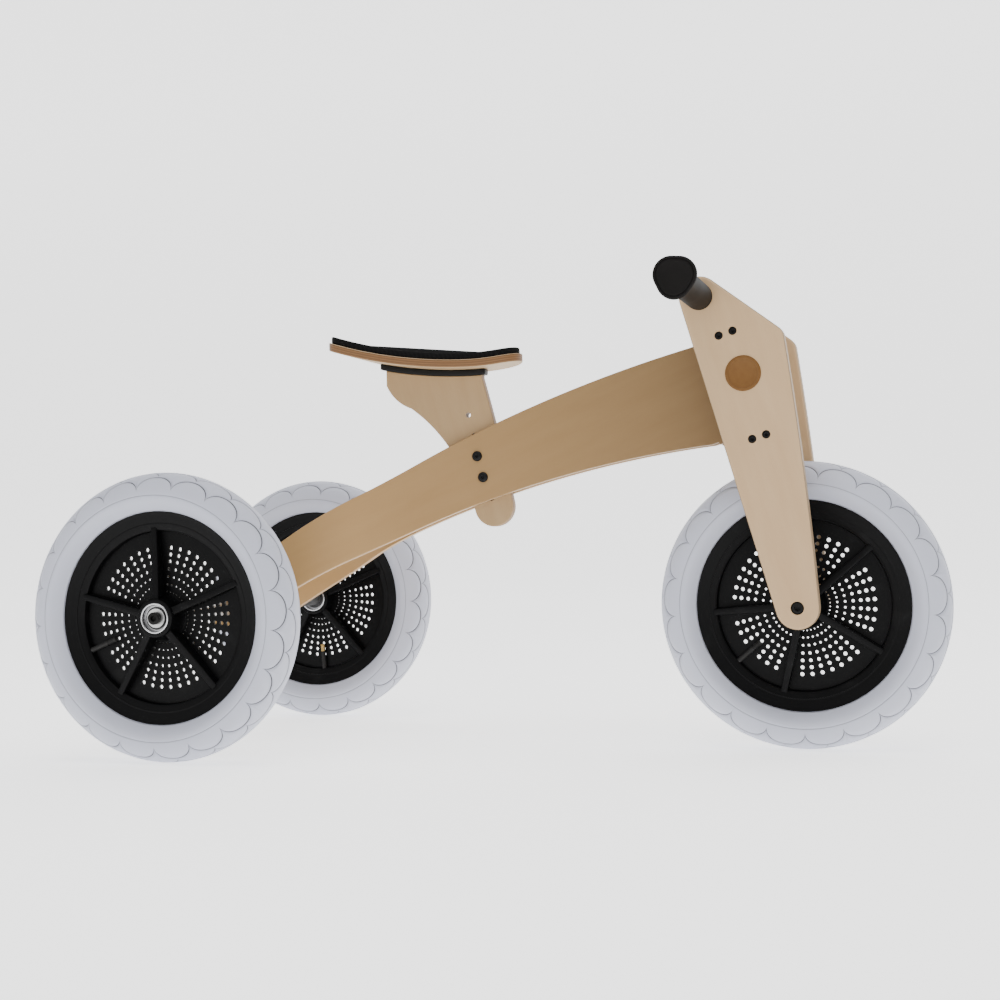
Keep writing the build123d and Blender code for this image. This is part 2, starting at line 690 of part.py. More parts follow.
# ---------------------------------------------------------------- frame
def arm_sides():
    """Side outline of an arm, from the round end at the rear axle to the steering joint."""
    lean = radians(ARM_END_ANGLE)
    out = Vector(-sin(lean), cos(lean)) * ARM_END_R
    centre = Vector(0, AXLE_Z)
    top = ThreePointArc(centre + out, ARM_TOP_MID, ARM_TOP_END)
    end = ThreePointArc(centre + out, centre - Vector(cos(lean), sin(lean)) * ARM_END_R, centre - out)
    low = ThreePointArc(end @ 1, ARM_LOW_MID, ARM_LOW_END)
    Line(top @ 1, low @ 1)


def arm_strip(side):
    """Bent strip seen from above: straight, an S bend outwards, straight to the axle."""
    near, far = (ARM_IN + ARM_OUT) / 2, (REAR_IN + REAR_OUT) / 2
    half_run, half_step = (FLARE_START - FLARE_END) / 2, (far - near) / 2
    front = Line((WHEELBASE, side * near), (FLARE_START, side * near))
    first = TangentArc(
        front @ 1,
        (FLARE_START - half_run, side * (near + half_step)),
        tangent=(-1, 0),
    )
    second = TangentArc(
        first @ 1,
        (FLARE_END, side * far),
        tangent=first % 1,
    )
    Line(second @ 1, (-2 * ARM_END_R, side * far))


def make_arm(side):
    """Bent-plywood arm, its nose cut to clear the cross boards."""
    with BuildPart() as arm:
        with BuildSketch(Plane((REAR_X, 0, 0))):
            with BuildLine():
                arm_strip(side)
            trace(line_width=ARM_T)
        extrude(amount=BAR_Z)
        with BuildSketch(side_plane(REAR_X, 0)):
            with BuildLine():
                arm_sides()
            make_face()
        extrude(amount=TRACK, both=True, mode=Mode.INTERSECT)
        reach = 4 * NOSE_BACK
        room = BOARD_IN - BOARD_ROOM
        with BuildSketch(head_side()):
            with Locations((-NOSE_BACK, 0)):
                Rectangle(3 * reach, 4 * room, align=(Align.MIN, Align.CENTER))
            with Locations((-UPPER_NOTCH, room)):
                Rectangle(reach, reach, align=(Align.MIN, Align.MIN))
            with Locations((-LOWER_NOTCH, -room)):
                Rectangle(reach, reach, align=(Align.MIN, Align.MAX))
        extrude(amount=TRACK, both=True, mode=Mode.SUBTRACT)
        with BuildSketch(side_plane(REAR_X, AXLE_Z)):
            Circle(AXLE_R + FIT)
        extrude(amount=TRACK, both=True, mode=Mode.SUBTRACT)
        with BuildSketch(POST):
            with Locations(*CLAMPS):
                Circle(CLAMP_R + FIT)
        extrude(amount=TRACK, both=True, mode=Mode.SUBTRACT)
        with BuildSketch(head_side()):
            with Locations(*HEAD_BOLTS):
                Circle(HEAD_BOLT_R + FIT)
        extrude(amount=TRACK, both=True, mode=Mode.SUBTRACT)
    return arm


def cross_bolts(face, points, radius, head_r):
    """Domed bolts through the arms, their heads on the right-hand side."""
    with BuildPart() as bolts:
        with BuildSketch(face.offset(ARM_OUT)):
            with Locations(*points):
                Circle(head_r)
        extrude(amount=CROSS_HEAD_L)
        fillet(bolts.faces().filter_by(GeomType.PLANE).sort_by(Axis.Y)[: len(points)].edges(), CROSS_DOME_R)
        with BuildSketch(face.offset(ARM_OUT)):
            with Locations(*points):
                Circle(radius)
        extrude(amount=-2 * ARM_OUT - CROSS_HEAD_L)
    return bolts


def cross_nuts(face, points, radius, head_r):
    """Cap nuts on the left-hand ends of the cross bolts."""
    with BuildPart() as nuts:
        with BuildSketch(face.offset(-ARM_OUT)):
            with Locations(*points):
                Circle(head_r)
        extrude(amount=-CROSS_NUT_L)
        fillet(nuts.faces().filter_by(GeomType.PLANE).sort_by(Axis.Y)[-len(points):].edges(), CROSS_DOME_R)
        with BuildSketch(face.offset(-ARM_OUT)):
            with Locations(*points):
                Circle(radius + FIT / 2)
        extrude(amount=-CROSS_HEAD_L - FIT, mode=Mode.SUBTRACT)
    return nuts


# ---------------------------------------------------------------- seat
def seat_ends(drop):
    """Rear, lowest and front points of the seat's curve, moved down square to it."""
    low = Vector(SEAT_LOW_X, SEAT_LOW_Z)
    ends = []
    for x, z in ((SEAT_REAR, SEAT_REAR_Z), (SEAT_FRONT, SEAT_FRONT_Z)):
        run, rise = x - low.X, z - low.Y
        radius = (run * run + rise * rise) / (2 * rise)
        centre = low + Vector(0, radius)
        ends.append(centre + (Vector(x, z) - centre).normalized() * (radius + drop))
    return ends[0], low - Vector(0, drop), ends[1]


def seat_band(top_drop, low_drop):
    """Side outline of a curved layer between two depths below the seat board's top."""
    for drop in (top_drop, low_drop):
        rear, low, front = seat_ends(drop)
        TangentArc(low, rear, tangent=(-1, 0))
        TangentArc(low, front, tangent=(1, 0))
    for end in (0, 2):
        Line(seat_ends(top_drop)[end], seat_ends(low_drop)[end])


def seat_plan(inset):
    """Plan of the seat: a round nose and two round corners at the rear, set in from the edge."""
    rear_x = SEAT_REAR + SEAT_CORNER_R
    belt(
        ((SEAT_FRONT - SEAT_NOSE_R, 0), SEAT_NOSE_R - inset),
        ((rear_x, SEAT_HALF_W - SEAT_CORNER_R), SEAT_CORNER_R - inset),
        ((rear_x, SEAT_CORNER_R - SEAT_HALF_W), SEAT_CORNER_R - inset),
    )


def seat_layer(top_drop, low_drop, inset, screw_places=()):
    """Curved layer with the seat's plan, set in from its edge, and its countersunk holes."""
    with BuildPart() as layer:
        with BuildSketch(side_plane(REAR_X, 0)):
            with BuildLine():
                seat_band(top_drop, low_drop)
            make_face()
        extrude(amount=SEAT_HALF_W, both=True)
        with BuildSketch(Plane((REAR_X, 0, 0))):
            with BuildLine():
                seat_plan(inset)
            make_face()
        extrude(amount=2 * BAR_Z, mode=Mode.INTERSECT)
        for place in screw_places:
            with BuildSketch(place):
                Circle(SCREW_HEAD_R + FIT)
            extrude(amount=-SCREW_HEAD_L, mode=Mode.SUBTRACT)
            with BuildSketch(place):
                Circle(SCREW_R + FIT)
            extrude(amount=-STRIP_DROP, mode=Mode.SUBTRACT)
    return layer


def screw_planes():
    """Planes square to the top of the seat board where the two saddle screws go down."""
    planes = []
    for x in (SCREW_REAR, SCREW_FRONT):
        rear, low, front = seat_ends(0)
        end = rear if x < SEAT_LOW_X else front
        rise = end.Y - low.Y
        radius = ((end.X - low.X) ** 2 + rise ** 2) / (2 * rise)
        lean = (x - SEAT_LOW_X) / radius
        height = low.Y + radius - radius * cos(lean)
        planes.append(
            Plane(
                origin=(REAR_X + SEAT_LOW_X + radius * sin(lean), 0, height),
                x_dir=(cos(lean), 0, sin(lean)),
                z_dir=(-sin(lean), 0, cos(lean)),
            )
        )
    return planes


def make_saddle_strip():
    """Curved strip that the seat board is screwed down on, over the top of the post."""
    with BuildPart() as strip:
        with BuildSketch(side_plane(REAR_X, 0)):
            with BuildLine():
                seat_band(SEAT_PLY_T, STRIP_DROP)
            make_face()
        extrude(amount=STRIP_HALF_W, both=True)
        with BuildSketch(Plane((REAR_X + (STRIP_REAR + STRIP_FRONT) / 2, 0, 0))):
            RectangleRounded(STRIP_FRONT - STRIP_REAR, 2 * STRIP_HALF_W, STRIP_CORNER_R)
        extrude(amount=2 * BAR_Z, mode=Mode.INTERSECT)
        for place in screw_planes():
            with BuildSketch(place):
                Circle(SCREW_R + FIT)
            extrude(amount=-2 * STRIP_DROP, mode=Mode.SUBTRACT)
    return strip


def make_saddle_screws():
    """Two countersunk screws, down through the seat board and the strip into the post."""
    with BuildPart() as screws:
        for place in screw_planes():
            with BuildSketch(place):
                Circle(SCREW_HEAD_R)
            extrude(amount=-SCREW_HEAD_L)
            with BuildSketch(place):
                Circle(SCREW_R)
            extrude(amount=-SCREW_L)
    return screws


def make_post():
    """Plywood seat post: a stem with a row of holes and a head that runs back under the seat."""
    with BuildPart() as post:
        with BuildSketch(POST.offset(-ARM_IN)):
            with BuildLine():
                front = ThreePointArc((POST_HALF_W, 0), POST_FRONT, (POST_FRONT_TOP, POST_TOP))
                tail = ThreePointArc((POST_HALF_W, 0), (0, -POST_HALF_W), (-POST_HALF_W, 0))
                back = Line(tail @ 1, (-POST_HALF_W, POST_STEM_UP))
                hollow = TangentArc(back @ 1, POST_HEAD_LOW, tangent=(0, 1))
                round_end = ThreePointArc(hollow @ 1, POST_HEAD_TURN, POST_HEAD_BACK)
                lean = (POST_TOP - POST_HEAD_BACK[1]) * tan(radians(POST_TILT))
                rise = Line(round_end @ 1, (POST_HEAD_BACK[0] + lean, POST_TOP))
                Line(rise @ 1, front @ 1)
            make_face()
            with Locations(*POST_HOLES):
                Circle(HOLE_R, mode=Mode.SUBTRACT)
        extrude(amount=POST_T)
        with BuildSketch(side_plane(REAR_X, 0, POST_T)):
            with BuildLine():
                seat_band(-SEAT_HALF_W, STRIP_DROP)
            make_face()
        extrude(amount=2 * POST_T, mode=Mode.SUBTRACT)
        for place in screw_planes():
            with BuildSketch(place):
                Circle(SCREW_R + FIT)
            extrude(amount=-SCREW_L - FIT, mode=Mode.SUBTRACT)
    return post


# ---------------------------------------------------------------- axles
def make_axle(x, half_length):
    """Steel axle tapped at both ends."""
    with BuildPart() as axle:
        with BuildSketch(side_plane(x, AXLE_Z, half_length)):
            Circle(AXLE_R)
        extrude(amount=2 * half_length)
        for side in (-1, 1):
            with BuildSketch(side_plane(x, AXLE_Z, side * half_length)):
                Circle(AXLE_BOLT_R + RUN)
            extrude(amount=side * (AXLE_BOLT_L + BOLT_ROOM), mode=Mode.SUBTRACT)
    return axle


def make_axle_bolts(x, seat):
    """Hex-socket bolts for the two ends of an axle, their heads seated at some distance out."""
    with BuildPart() as bolts:
        for side in (-1, 1):
            with BuildSketch(side_plane(x, AXLE_Z, side * seat)):
                Circle(AXLE_HEAD_R)
            extrude(amount=-side * AXLE_HEAD_L)
            with BuildSketch(side_plane(x, AXLE_Z, side * seat)):
                Circle(AXLE_BOLT_R)
            extrude(amount=side * AXLE_BOLT_L)
            with BuildSketch(side_plane(x, AXLE_Z, side * (seat + AXLE_HEAD_L))):
                RegularPolygon(AXLE_KEY_R, 6)
            extrude(amount=side * AXLE_KEY_DEPTH, mode=Mode.SUBTRACT)
    return bolts


def make_tubes(x, spans, outer, inner):
    """Short tubes or washers on an axle, each between two distances to the left."""
    with BuildPart() as tubes:
        for start, end in spans:
            with BuildSketch(side_plane(x, AXLE_Z, end)):
                Circle(outer)
                Circle(inner, mode=Mode.SUBTRACT)
            extrude(amount=end - start)
    return tubes


# ---------------------------------------------------------------- assembly
os.makedirs("parts", exist_ok=True)

for wheel, (wheel_x, wheel_y, wheel_turn) in WHEELS.items():
    make_wheel(wheel, wheel_x, wheel_y, wheel_turn)

for hand, way in {"right": -1, "left": 1}.items():
    save(make_plate(way), f"{hand}_fork_plate")
    save(make_grip(way), f"{hand}_grip")
    save(make_arm(way), f"{hand}_arm")
for level in BOARD_HEIGHTS:
    save(make_board(level), f"{level}_cross_board")
save(make_fork_bolts(), "fork_bolts")
save(make_barrel_nuts(), "fork_barrel_nuts")
save(make_handlebar(), "handlebar")
save(make_badges(), "fork_badges")
save(make_steering_bolt(), "steering_bolt")
save(make_steering_nut(), "steering_nut")
save(make_steering_washers(), "steering_washers")
save(make_bushes(), "steering_bushes")
save(make_head_block(), "head_block")
save(cross_bolts(head_side(), HEAD_BOLTS, HEAD_BOLT_R, HEAD_BOLT_HEAD_R), "head_bolts")
save(cross_nuts(head_side(), HEAD_BOLTS, HEAD_BOLT_R, HEAD_BOLT_HEAD_R), "head_nuts")
save(cross_bolts(POST, CLAMPS, CLAMP_R, CLAMP_HEAD_R), "seat_clamp_bolts")
save(cross_nuts(POST, CLAMPS, CLAMP_R, CLAMP_HEAD_R), "seat_clamp_nuts")
save(seat_layer(0, SEAT_PLY_T, 0, screw_planes()), "seat_board")
save(seat_layer(-PAD_T, 0, PAD_INSET), "seat_pad")
save(make_saddle_strip(), "saddle_strip")
save(make_saddle_screws(), "saddle_screws")
save(make_post(), "seat_post")

front_half = PLATE_OUT - AXLE_RECESS
rear_half = TRACK / 2 + BEARING_OUT + GAP
save(make_axle(FRONT_X, front_half), "front_axle")
save(make_axle_bolts(FRONT_X, front_half), "front_axle_bolts")
front_span = (BEARING_OUT + GAP, PLATE_IN)
save(
    make_tubes(FRONT_X, [front_span, (-front_span[1], -front_span[0])], SPACER_R, AXLE_R + FIT),
    "front_axle_spacers",
)
save(make_axle(REAR_X, rear_half), "rear_axle")
save(make_axle_bolts(REAR_X, rear_half + WASHER_T), "rear_axle_bolts")
outer_span = (REAR_OUT, TRACK / 2 - BEARING_OUT - GAP)
save(
    make_tubes(
        REAR_X,
        [outer_span, (-REAR_IN, REAR_IN), (-outer_span[1], -outer_span[0])],
        SPACER_R,
        AXLE_R + FIT,
    ),
    "rear_axle_spacers",
)
save(
    make_tubes(
        REAR_X,
        [(rear_half, rear_half + WASHER_T), (-rear_half - WASHER_T, -rear_half)],
        AXLE_WASHER_R,
        AXLE_BOLT_R + FIT,
    ),
    "rear_axle_washers",
)
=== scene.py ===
"""Child's balance tricycle, dressed for a studio picture.

Everything stands in the tricycle's own frame, in metres: X forward, Z up, the
origin on the ground under the middle.  The sections follow the order in which the
tricycle is put together: wheels, frame, seat, fork, handlebar, fastenings, studio.
"""
import json
from math import atan2, ceil, cos, hypot, pi, radians, sin, sqrt, tau

import bmesh
import bpy
from mathutils import Matrix, Vector


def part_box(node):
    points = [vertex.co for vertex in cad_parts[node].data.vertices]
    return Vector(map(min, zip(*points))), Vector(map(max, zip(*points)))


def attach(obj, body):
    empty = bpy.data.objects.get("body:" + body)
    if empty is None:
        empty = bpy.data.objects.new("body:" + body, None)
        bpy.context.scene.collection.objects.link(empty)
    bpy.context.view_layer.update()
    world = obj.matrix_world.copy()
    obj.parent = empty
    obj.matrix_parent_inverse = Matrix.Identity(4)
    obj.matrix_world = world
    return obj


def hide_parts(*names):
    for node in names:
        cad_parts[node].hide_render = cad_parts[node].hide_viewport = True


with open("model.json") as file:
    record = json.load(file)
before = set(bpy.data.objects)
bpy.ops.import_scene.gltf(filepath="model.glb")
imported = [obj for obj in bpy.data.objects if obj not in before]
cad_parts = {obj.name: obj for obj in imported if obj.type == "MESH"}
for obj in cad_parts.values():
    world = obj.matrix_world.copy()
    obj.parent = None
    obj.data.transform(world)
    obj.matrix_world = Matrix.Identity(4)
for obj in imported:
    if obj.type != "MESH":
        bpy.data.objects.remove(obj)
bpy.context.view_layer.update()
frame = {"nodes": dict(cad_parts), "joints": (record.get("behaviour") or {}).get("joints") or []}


# ---------------------------------------------------------------- tyres
# A soft, pale grey air tyre for each wheel, moulded in one piece with a pattern of
# overlapping scales cut into its shoulders and tread.  It sits in the wheel's channel.

class Field:
    """A shader socket that takes part in sums, so a finish reads as arithmetic."""

    def __init__(self, paint, socket):
        self.paint, self.socket = paint, socket

    def math(self, operation, *terms):
        return self.paint.node("Math", {"operation": operation}, dict(enumerate(terms)))

    def __add__(self, other):
        return self.math("ADD", self, other)

    def __sub__(self, other):
        return self.math("SUBTRACT", self, other)

    def __rsub__(self, other):
        return self.math("SUBTRACT", other, self)

    def __mul__(self, other):
        return self.math("MULTIPLY", self, other)

    def __gt__(self, other):
        return self.math("GREATER_THAN", self, other)

    __radd__, __rmul__ = __add__, __mul__


class Paint:
    """A finish in the making: constants on the shader, and whatever varies linked to it."""

    def __init__(self, name, **constants):
        self.material = bpy.data.materials.new(name)
        self.material.use_nodes = True
        self.tree = self.material.node_tree
        self.shader = self.tree.nodes["Principled BSDF"]
        for socket, value in constants.items():
            self.shader.inputs[socket.replace("_", " ").title().replace("Ior", "IOR")].default_value = value

    def join(self, socket, value):
        if isinstance(value, Field):
            self.tree.links.new(value.socket, socket)
        else:
            socket.default_value = value

    def node(self, kind, settings=None, inputs=None, output=0):
        made = self.tree.nodes.new("ShaderNode" + kind)
        for key, value in (settings or {}).items():
            if key == "stops":
                for _ in value[2:]:
                    made.color_ramp.elements.new(0.5)
                for element, (place, shade) in zip(made.color_ramp.elements, value):
                    element.position, element.color = place, (*shade, 1)
            else:
                setattr(made, key, value)
        for key, value in (inputs or {}).items():
            self.join(made.inputs[key], value)
        return Field(self, made.outputs[output])

    def mix(self, share, first, second):
        """Colour between two colours."""
        first, second = [c if isinstance(c, Field) else (*c, 1) for c in (first, second)]
        return self.node("Mix", {"data_type": "RGBA"}, {0: share, 6: first, 7: second}, 2)

    def place(self):
        return self.node("TexCoord", output=3)

    def noise(self, scale, detail=3.0, stretch=(1, 1, 1), place=None):
        spot = place or self.place()
        spot = self.node("VectorMath", {"operation": "MULTIPLY"}, {0: spot, 1: stretch})
        return self.node("TexNoise", inputs={"Vector": spot, "Scale": scale, "Detail": detail})

    def ramp(self, share, *stops):
        return self.node("ValToRGB", {"stops": stops}, {0: share})

    def level(self, share, low, high):
        """A number led from low to high as the share goes from 0 to 1."""
        return self.node("MapRange", inputs={0: share, 3: low, 4: high})

    def own(self, name, output=2):
        """A value kept on the mesh by name."""
        return self.node("Attribute", {"attribute_name": name}, output=output)

    def coat(self, colour, roughness=None, height=None, depth=0.0002, strength=0.3):
        """Links what varies over the surface and returns the finished material."""
        self.join(self.shader.inputs["Base Color"], colour)
        if roughness is not None:
            self.join(self.shader.inputs["Roughness"], roughness)
        if height is not None:
            bump = self.node("Bump", inputs={"Strength": strength, "Distance": depth, "Height": height})
            self.join(self.shader.inputs["Normal"], bump)
        return self.material

    def even(self, pattern, first, second, rough, depth=0.0001, strength=0.2):
        """A finish whose colour, gloss and relief follow one pattern."""
        shade = self.mix(pattern, first, second)
        return self.coat(shade, self.level(pattern, *rough), pattern, depth, strength)


def fit_out(name, mesh, finish, body, slot, stands_for):
    """Makes a piece of a mesh, gives it its finish, and lets it ride on a body."""
    mesh.polygons.foreach_set("use_smooth", [True] * len(mesh.polygons))
    mesh.materials.append(finish)
    piece = bpy.data.objects.new(name, mesh)
    bpy.context.scene.collection.objects.link(piece)
    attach(piece, body)
    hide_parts(*stands_for)
    return piece


def build(name, points, faces, finish, body, slot, stands_for, own=None):
    """Makes a mesh piece, with named point values, that rides on a body."""
    mesh = bpy.data.meshes.new(name)
    mesh.from_pydata(points, [], faces)
    mesh.validate()
    for key, values in (own or {}).items():
        mesh.attributes.new(key, "FLOAT", "POINT").data.foreach_set("value", values)
    return fit_out(name, mesh, finish, body, slot, stands_for)


def loft(rings, closed_rings=True, closed_loft=True):
    """Points and faces of a surface through rings with equally many points."""
    count = len(rings[0])
    points = [p for ring in rings for p in ring]
    faces = []
    for i in range(len(rings) if closed_loft else len(rings) - 1):
        here, there = i * count, (i + 1) % len(rings) * count
        for j in range(count if closed_rings else count - 1):
            k = (j + 1) % count
            faces.append((here + j, here + k, there + k, there + j))
    return points, faces


def placed(matrix, points):
    return [matrix @ Vector(p) for p in points]


def facing(faces, side):
    """The faces as they are on the right-hand side, and turned over on the left."""
    return faces if side < 0 else [f[::-1] for f in faces]


WHEEL_OF = {"front": "front_wheel", "rear_right": "rear_right_wheel", "rear_left": "rear_left_wheel"}
TURN_OF = {"front": 184.5, "rear_right": 166.3, "rear_left": 238.5}


def wheel_frame(name):
    """Matrix from a wheel's own frame, with Z to the right-hand side, into the tricycle's."""
    low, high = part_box(f"{name}_tyre")
    turn = radians(TURN_OF[name])
    across, up = Vector((cos(turn), 0, sin(turn))), Vector((-sin(turn), 0, cos(turn)))
    matrix = Matrix((across, up, Vector((0, -1, 0)))).transposed().to_4x4()
    matrix.translation = (low + high) / 2
    return matrix


tyre_low, tyre_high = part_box("front_tyre")
TYRE_R = (tyre_high - tyre_low).z / 2
CROWN_R = (tyre_high - tyre_low).y / 2
RIM_R, RIM_HALF_W, CASING_T = 0.1115, 0.0146, 0.004
SCALES, SCALE_STEPS = 21, 30
SCALE_ROWS = ((16, 36), (55, 25))        # where a row of scales starts and how high it is, degrees
GROOVE_HALF, GROOVE_DEPTH = 1.9, 0.0010  # half the groove's width in degrees, and its depth


def scale_edge(row, turn, shift):
    """Angle up the tyre's side of a row's scalloped edge, at a share of a turn."""
    start, height = SCALE_ROWS[row]
    share = (turn * SCALES + shift + 0.5 * row) % 1.0
    return start + height * sqrt(max(0.0, 1 - (2 * share - 1) ** 2))


def tyre_rows(turn, shift):
    """(angle up the side, depth of cut, painted groove shade) from the rim side to the crown."""
    # The mould line near the rim is a shallow groove with painted shade in it.
    rows = [(0, 0, 0), (3.4, 0, 0), (4.4, 0.5, 0.7), (5.4, 0, 0), (8, 0, 0)]
    last = 8
    for row in range(len(SCALE_ROWS)):
        edge = scale_edge(row, turn, shift)
        start = edge - GROOVE_HALF
        rows += [(last + (start - last) * s, 0, 0) for s in (0.35, 0.7)]
        rows += [(start, 0, 0), (edge - 0.9, 1, 1), (edge + 0.9, 1, 1), (edge + GROOVE_HALF, 0, 0)]
        last = edge + GROOVE_HALF
    return rows + [(last + (90 - last) * s, 0, 0) for s in (0.33, 0.67)]


def tyre_section(turn):
    """One section of the tyre as (radius, offset, darkness) all the way round."""
    centre = TYRE_R - CROWN_R
    section = []
    for side, shift in ((1, 0.0), (-1, 0.5)):
        half = []
        for step in range(9):
            half.append((RIM_R + (centre - RIM_R) * step / 9,
                         RIM_HALF_W + (CROWN_R - RIM_HALF_W) * sin(pi / 2 * step / 9), 0))
        for angle, cut, dark in tyre_rows(turn, shift):
            a, r = radians(angle), CROWN_R - cut * GROOVE_DEPTH
            half.append((centre + r * sin(a), r * cos(a), dark))
        half = [(r, side * y, dark) for r, y, dark in half]
        if side > 0:
            section += half + [(TYRE_R, 0, 0)]
        else:
            section += half[::-1]
    inner = CROWN_R - CASING_T
    for step in range(9):
        a = -pi / 2 + pi * step / 8
        section.append((centre + inner * cos(a) * 0.98, inner * sin(a), 0))
    return section


def turns_of_scale():
    """Shares of a turn, closer together where the scales' edges are steep."""
    half = SCALE_STEPS // 2
    for i in range(2 * SCALES):
        for j in range(half):
            yield (i + (1 - cos(pi * j / half)) / 2) / (2 * SCALES)


paint = Paint("pale_tyre_rubber", roughness=0.62, sheen_weight=0.08, sheen_roughness=0.5)
# The 'cut' value on the mesh is painted shade: the scales' grooves and the mould line are coloured near black
# where shade would fall in them.
cut = paint.own("cut")
mottle = paint.noise(9, 4)
dust = paint.noise(60, 5)
shade = paint.mix(mottle, (0.43, 0.445, 0.535), (0.51, 0.525, 0.61))
shade = paint.mix(dust * 0.25, shade, (0.46, 0.47, 0.49))
shade = paint.mix(cut, shade, (0.06, 0.06, 0.065))
tyre_rubber = paint.coat(shade, paint.level(dust, 0.52, 0.72), paint.noise(900, 2), 0.0002, 0.35)

for name, body in WHEEL_OF.items():
    rings, cuts = [], []
    for turn in turns_of_scale():
        section = tyre_section(turn)
        rings.append([(r * cos(tau * turn), r * sin(tau * turn), y) for r, y, dark in section])
        cuts += [dark for r, y, dark in section]
    points, faces = loft(rings)
    matrix = wheel_frame(name)
    build(f"{name}_tyre_casing", placed(matrix, points), faces, tyre_rubber, body,
          "tyre_rubber", [f"{name}_tyre"], own={"cut": [float(c) for c in cuts]})


# ---------------------------------------------------------------- wheel mouldings
# Each wheel is one black nylon moulding: a channel for the tyre, five box ribs and a
# thin disc pierced by a fan of round holes between the ribs.

WEB_T, WEB_IN, WEB_OUT = 0.003, 0.0215, 0.092
RIBS, RIB_HALF_W = 5, 0.0035
HOLE_ROWS = (
    (0.0274, 0.0008), (0.0348, 0.00115), (0.0430, 0.00135), (0.0513, 0.0017),
    (0.0591, 0.0019), (0.0664, 0.0021), (0.0736, 0.0022),
)
HOLES_IN_ROW = 7
HOLE_FAN = radians(50)


def circle(centre, radius, count, start=0.0):
    return [
        (centre[0] + radius * cos(start + tau * i / count), centre[1] + radius * sin(start + tau * i / count))
        for i in range(count)
    ]


def lathe(profile, steps, closed=False):
    """Points and faces of a profile of (radius, height) turned about Z."""
    rings = [
        [(r * cos(tau * i / steps), r * sin(tau * i / steps), h) for r, h in profile]
        for i in range(steps)
    ]
    return loft(rings, closed_rings=closed)


def slab(outline, holes, low, high):
    """Flat plate between two heights, with straight edges and holes."""
    made = bmesh.new()
    loops = [outline] + holes
    bottom = [[made.verts.new((x, y, low)) for x, y in loop] for loop in loops]
    for ring in bottom:
        for i in range(len(ring)):
            made.edges.new((ring[i - 1], ring[i]))
    bmesh.ops.triangle_fill(made, use_beauty=True, edges=made.edges[:])
    for face in made.faces:
        if face.normal.z > 0:
            face.normal_flip()
    flat = [[v.index for v in f.verts] for f in made.faces if not made.verts.index_update()]
    count = len(made.verts)
    points = [tuple(v.co) for v in made.verts] + [(v.co.x, v.co.y, high) for v in made.verts]
    faces = flat + [[count + i for i in reversed(f)] for f in flat]
    for ring in bottom:
        for i in range(len(ring)):
            a, b = ring[i - 1].index, ring[i].index
            faces.append((a, b, b + count, a + count))
    made.free()
    return points, faces


def joined(*parts):
    """Several (points, faces) as one."""
    points, faces = [], []
    for more_points, more_faces in parts:
        start = len(points)
        points += [tuple(p) for p in more_points]
        faces += [[start + i for i in f] for f in more_faces]
    return points, faces


def disc_sector():
    """The pierced disc between the middles of two ribs."""
    half = pi / RIBS
    arc = [-half + 2 * half * i / 24 for i in range(25)]
    outline = [(WEB_OUT * cos(a), WEB_OUT * sin(a)) for a in arc]
    outline += [(WEB_IN * cos(a), WEB_IN * sin(a)) for a in reversed(arc[::3])]
    holes = []
    for radius, hole_r in HOLE_ROWS:
        for i in range(HOLES_IN_ROW):
            a = HOLE_FAN * (i / (HOLES_IN_ROW - 1) - 0.5)
            holes.append(circle((radius * cos(a), radius * sin(a)), hole_r, 12))
    return slab(outline, holes, -WEB_T / 2, WEB_T / 2)


def rib_bar():
    """One box rib along +X, deep at the hub and lower at the rim, its corners rounded."""
    stations = []
    for share in (0, 0.03, 0.25, 0.5, 0.75, 0.97, 1):
        x = 0.0185 + (0.0945 - 0.0185) * share
        height = 0.0195 + (0.0100 - 0.0195) * share ** 0.8
        stations.append((x, RIB_HALF_W + 0.0006 * (1 - share), height))
    rings = []
    for x, wide, high in stations:
        corner = 0.0012
        ring = []
        for cx, cy, start in ((1, 1, 0), (-1, 1, 90), (-1, -1, 180), (1, -1, 270)):
            for step in range(4):
                a = radians(start + 30 * step)
                ring.append((x, cx * (wide - corner) + corner * cos(a),
                             cy * (high - corner) + corner * sin(a)))
        rings.append(ring)
    points, faces = loft(rings, closed_loft=False)
    count = len(rings[0])
    return points, faces + [list(range(count))[::-1], [len(points) - count + i for i in range(count)]]


def turned(part, angle):
    turn = Matrix.Rotation(angle, 3, "Z")
    return [turn @ Vector(p) for p in part[0]], part[1]


def rim_profile():
    """Half section of the channel and its sloping ring, then mirrored."""
    half = [
        (0.0905, 0.0016), (0.0912, 0.0060), (0.0916, 0.0078), (0.0930, 0.0090), (0.0960, 0.0098),
        (0.1010, 0.0116), (0.1060, 0.0130), (0.1095, 0.0139), (0.1108, 0.0146), (0.1118, 0.0148),
        (0.1128, 0.0143), (0.1130, 0.0133), (0.1124, 0.0118), (0.1090, 0.0113), (0.0985, 0.0112),
    ]
    return half + [(r, -y) for r, y in reversed(half)]


def hub_profile():
    half = [
        (0.0161, 0.0225), (0.0185, 0.0228), (0.0198, 0.0222), (0.0204, 0.0208),
        (0.0212, 0.0110), (0.0226, 0.0050), (0.0250, 0.0016), (0.0262, 0.0014),
    ]
    return half + [(r, -y) for r, y in reversed(half)]


paint = Paint("black_nylon", specular_ior_level=0.10)
grain = paint.noise(700, 3)
flow = paint.noise(14, 2)
shade = paint.mix(flow, (0.0012, 0.0012, 0.0013), (0.0026, 0.0026, 0.0028))
scuff = paint.ramp(paint.noise(38, 6), (0.60, (0, 0, 0)), (0.78, (1, 1, 1)))
shade = paint.mix(scuff * 0.2, shade, (0.02, 0.02, 0.02))
black_nylon = paint.coat(shade, paint.level(flow, 0.34, 0.50), grain)

sector = disc_sector()
rib = rib_bar()
moulding = joined(
    *[turned(sector, tau * (i + 0.5) / RIBS) for i in range(RIBS)],
    *[turned(rib, tau * i / RIBS) for i in range(RIBS)],
    lathe(rim_profile(), 180, closed=True),
    lathe(hub_profile(), 72, closed=True),
)


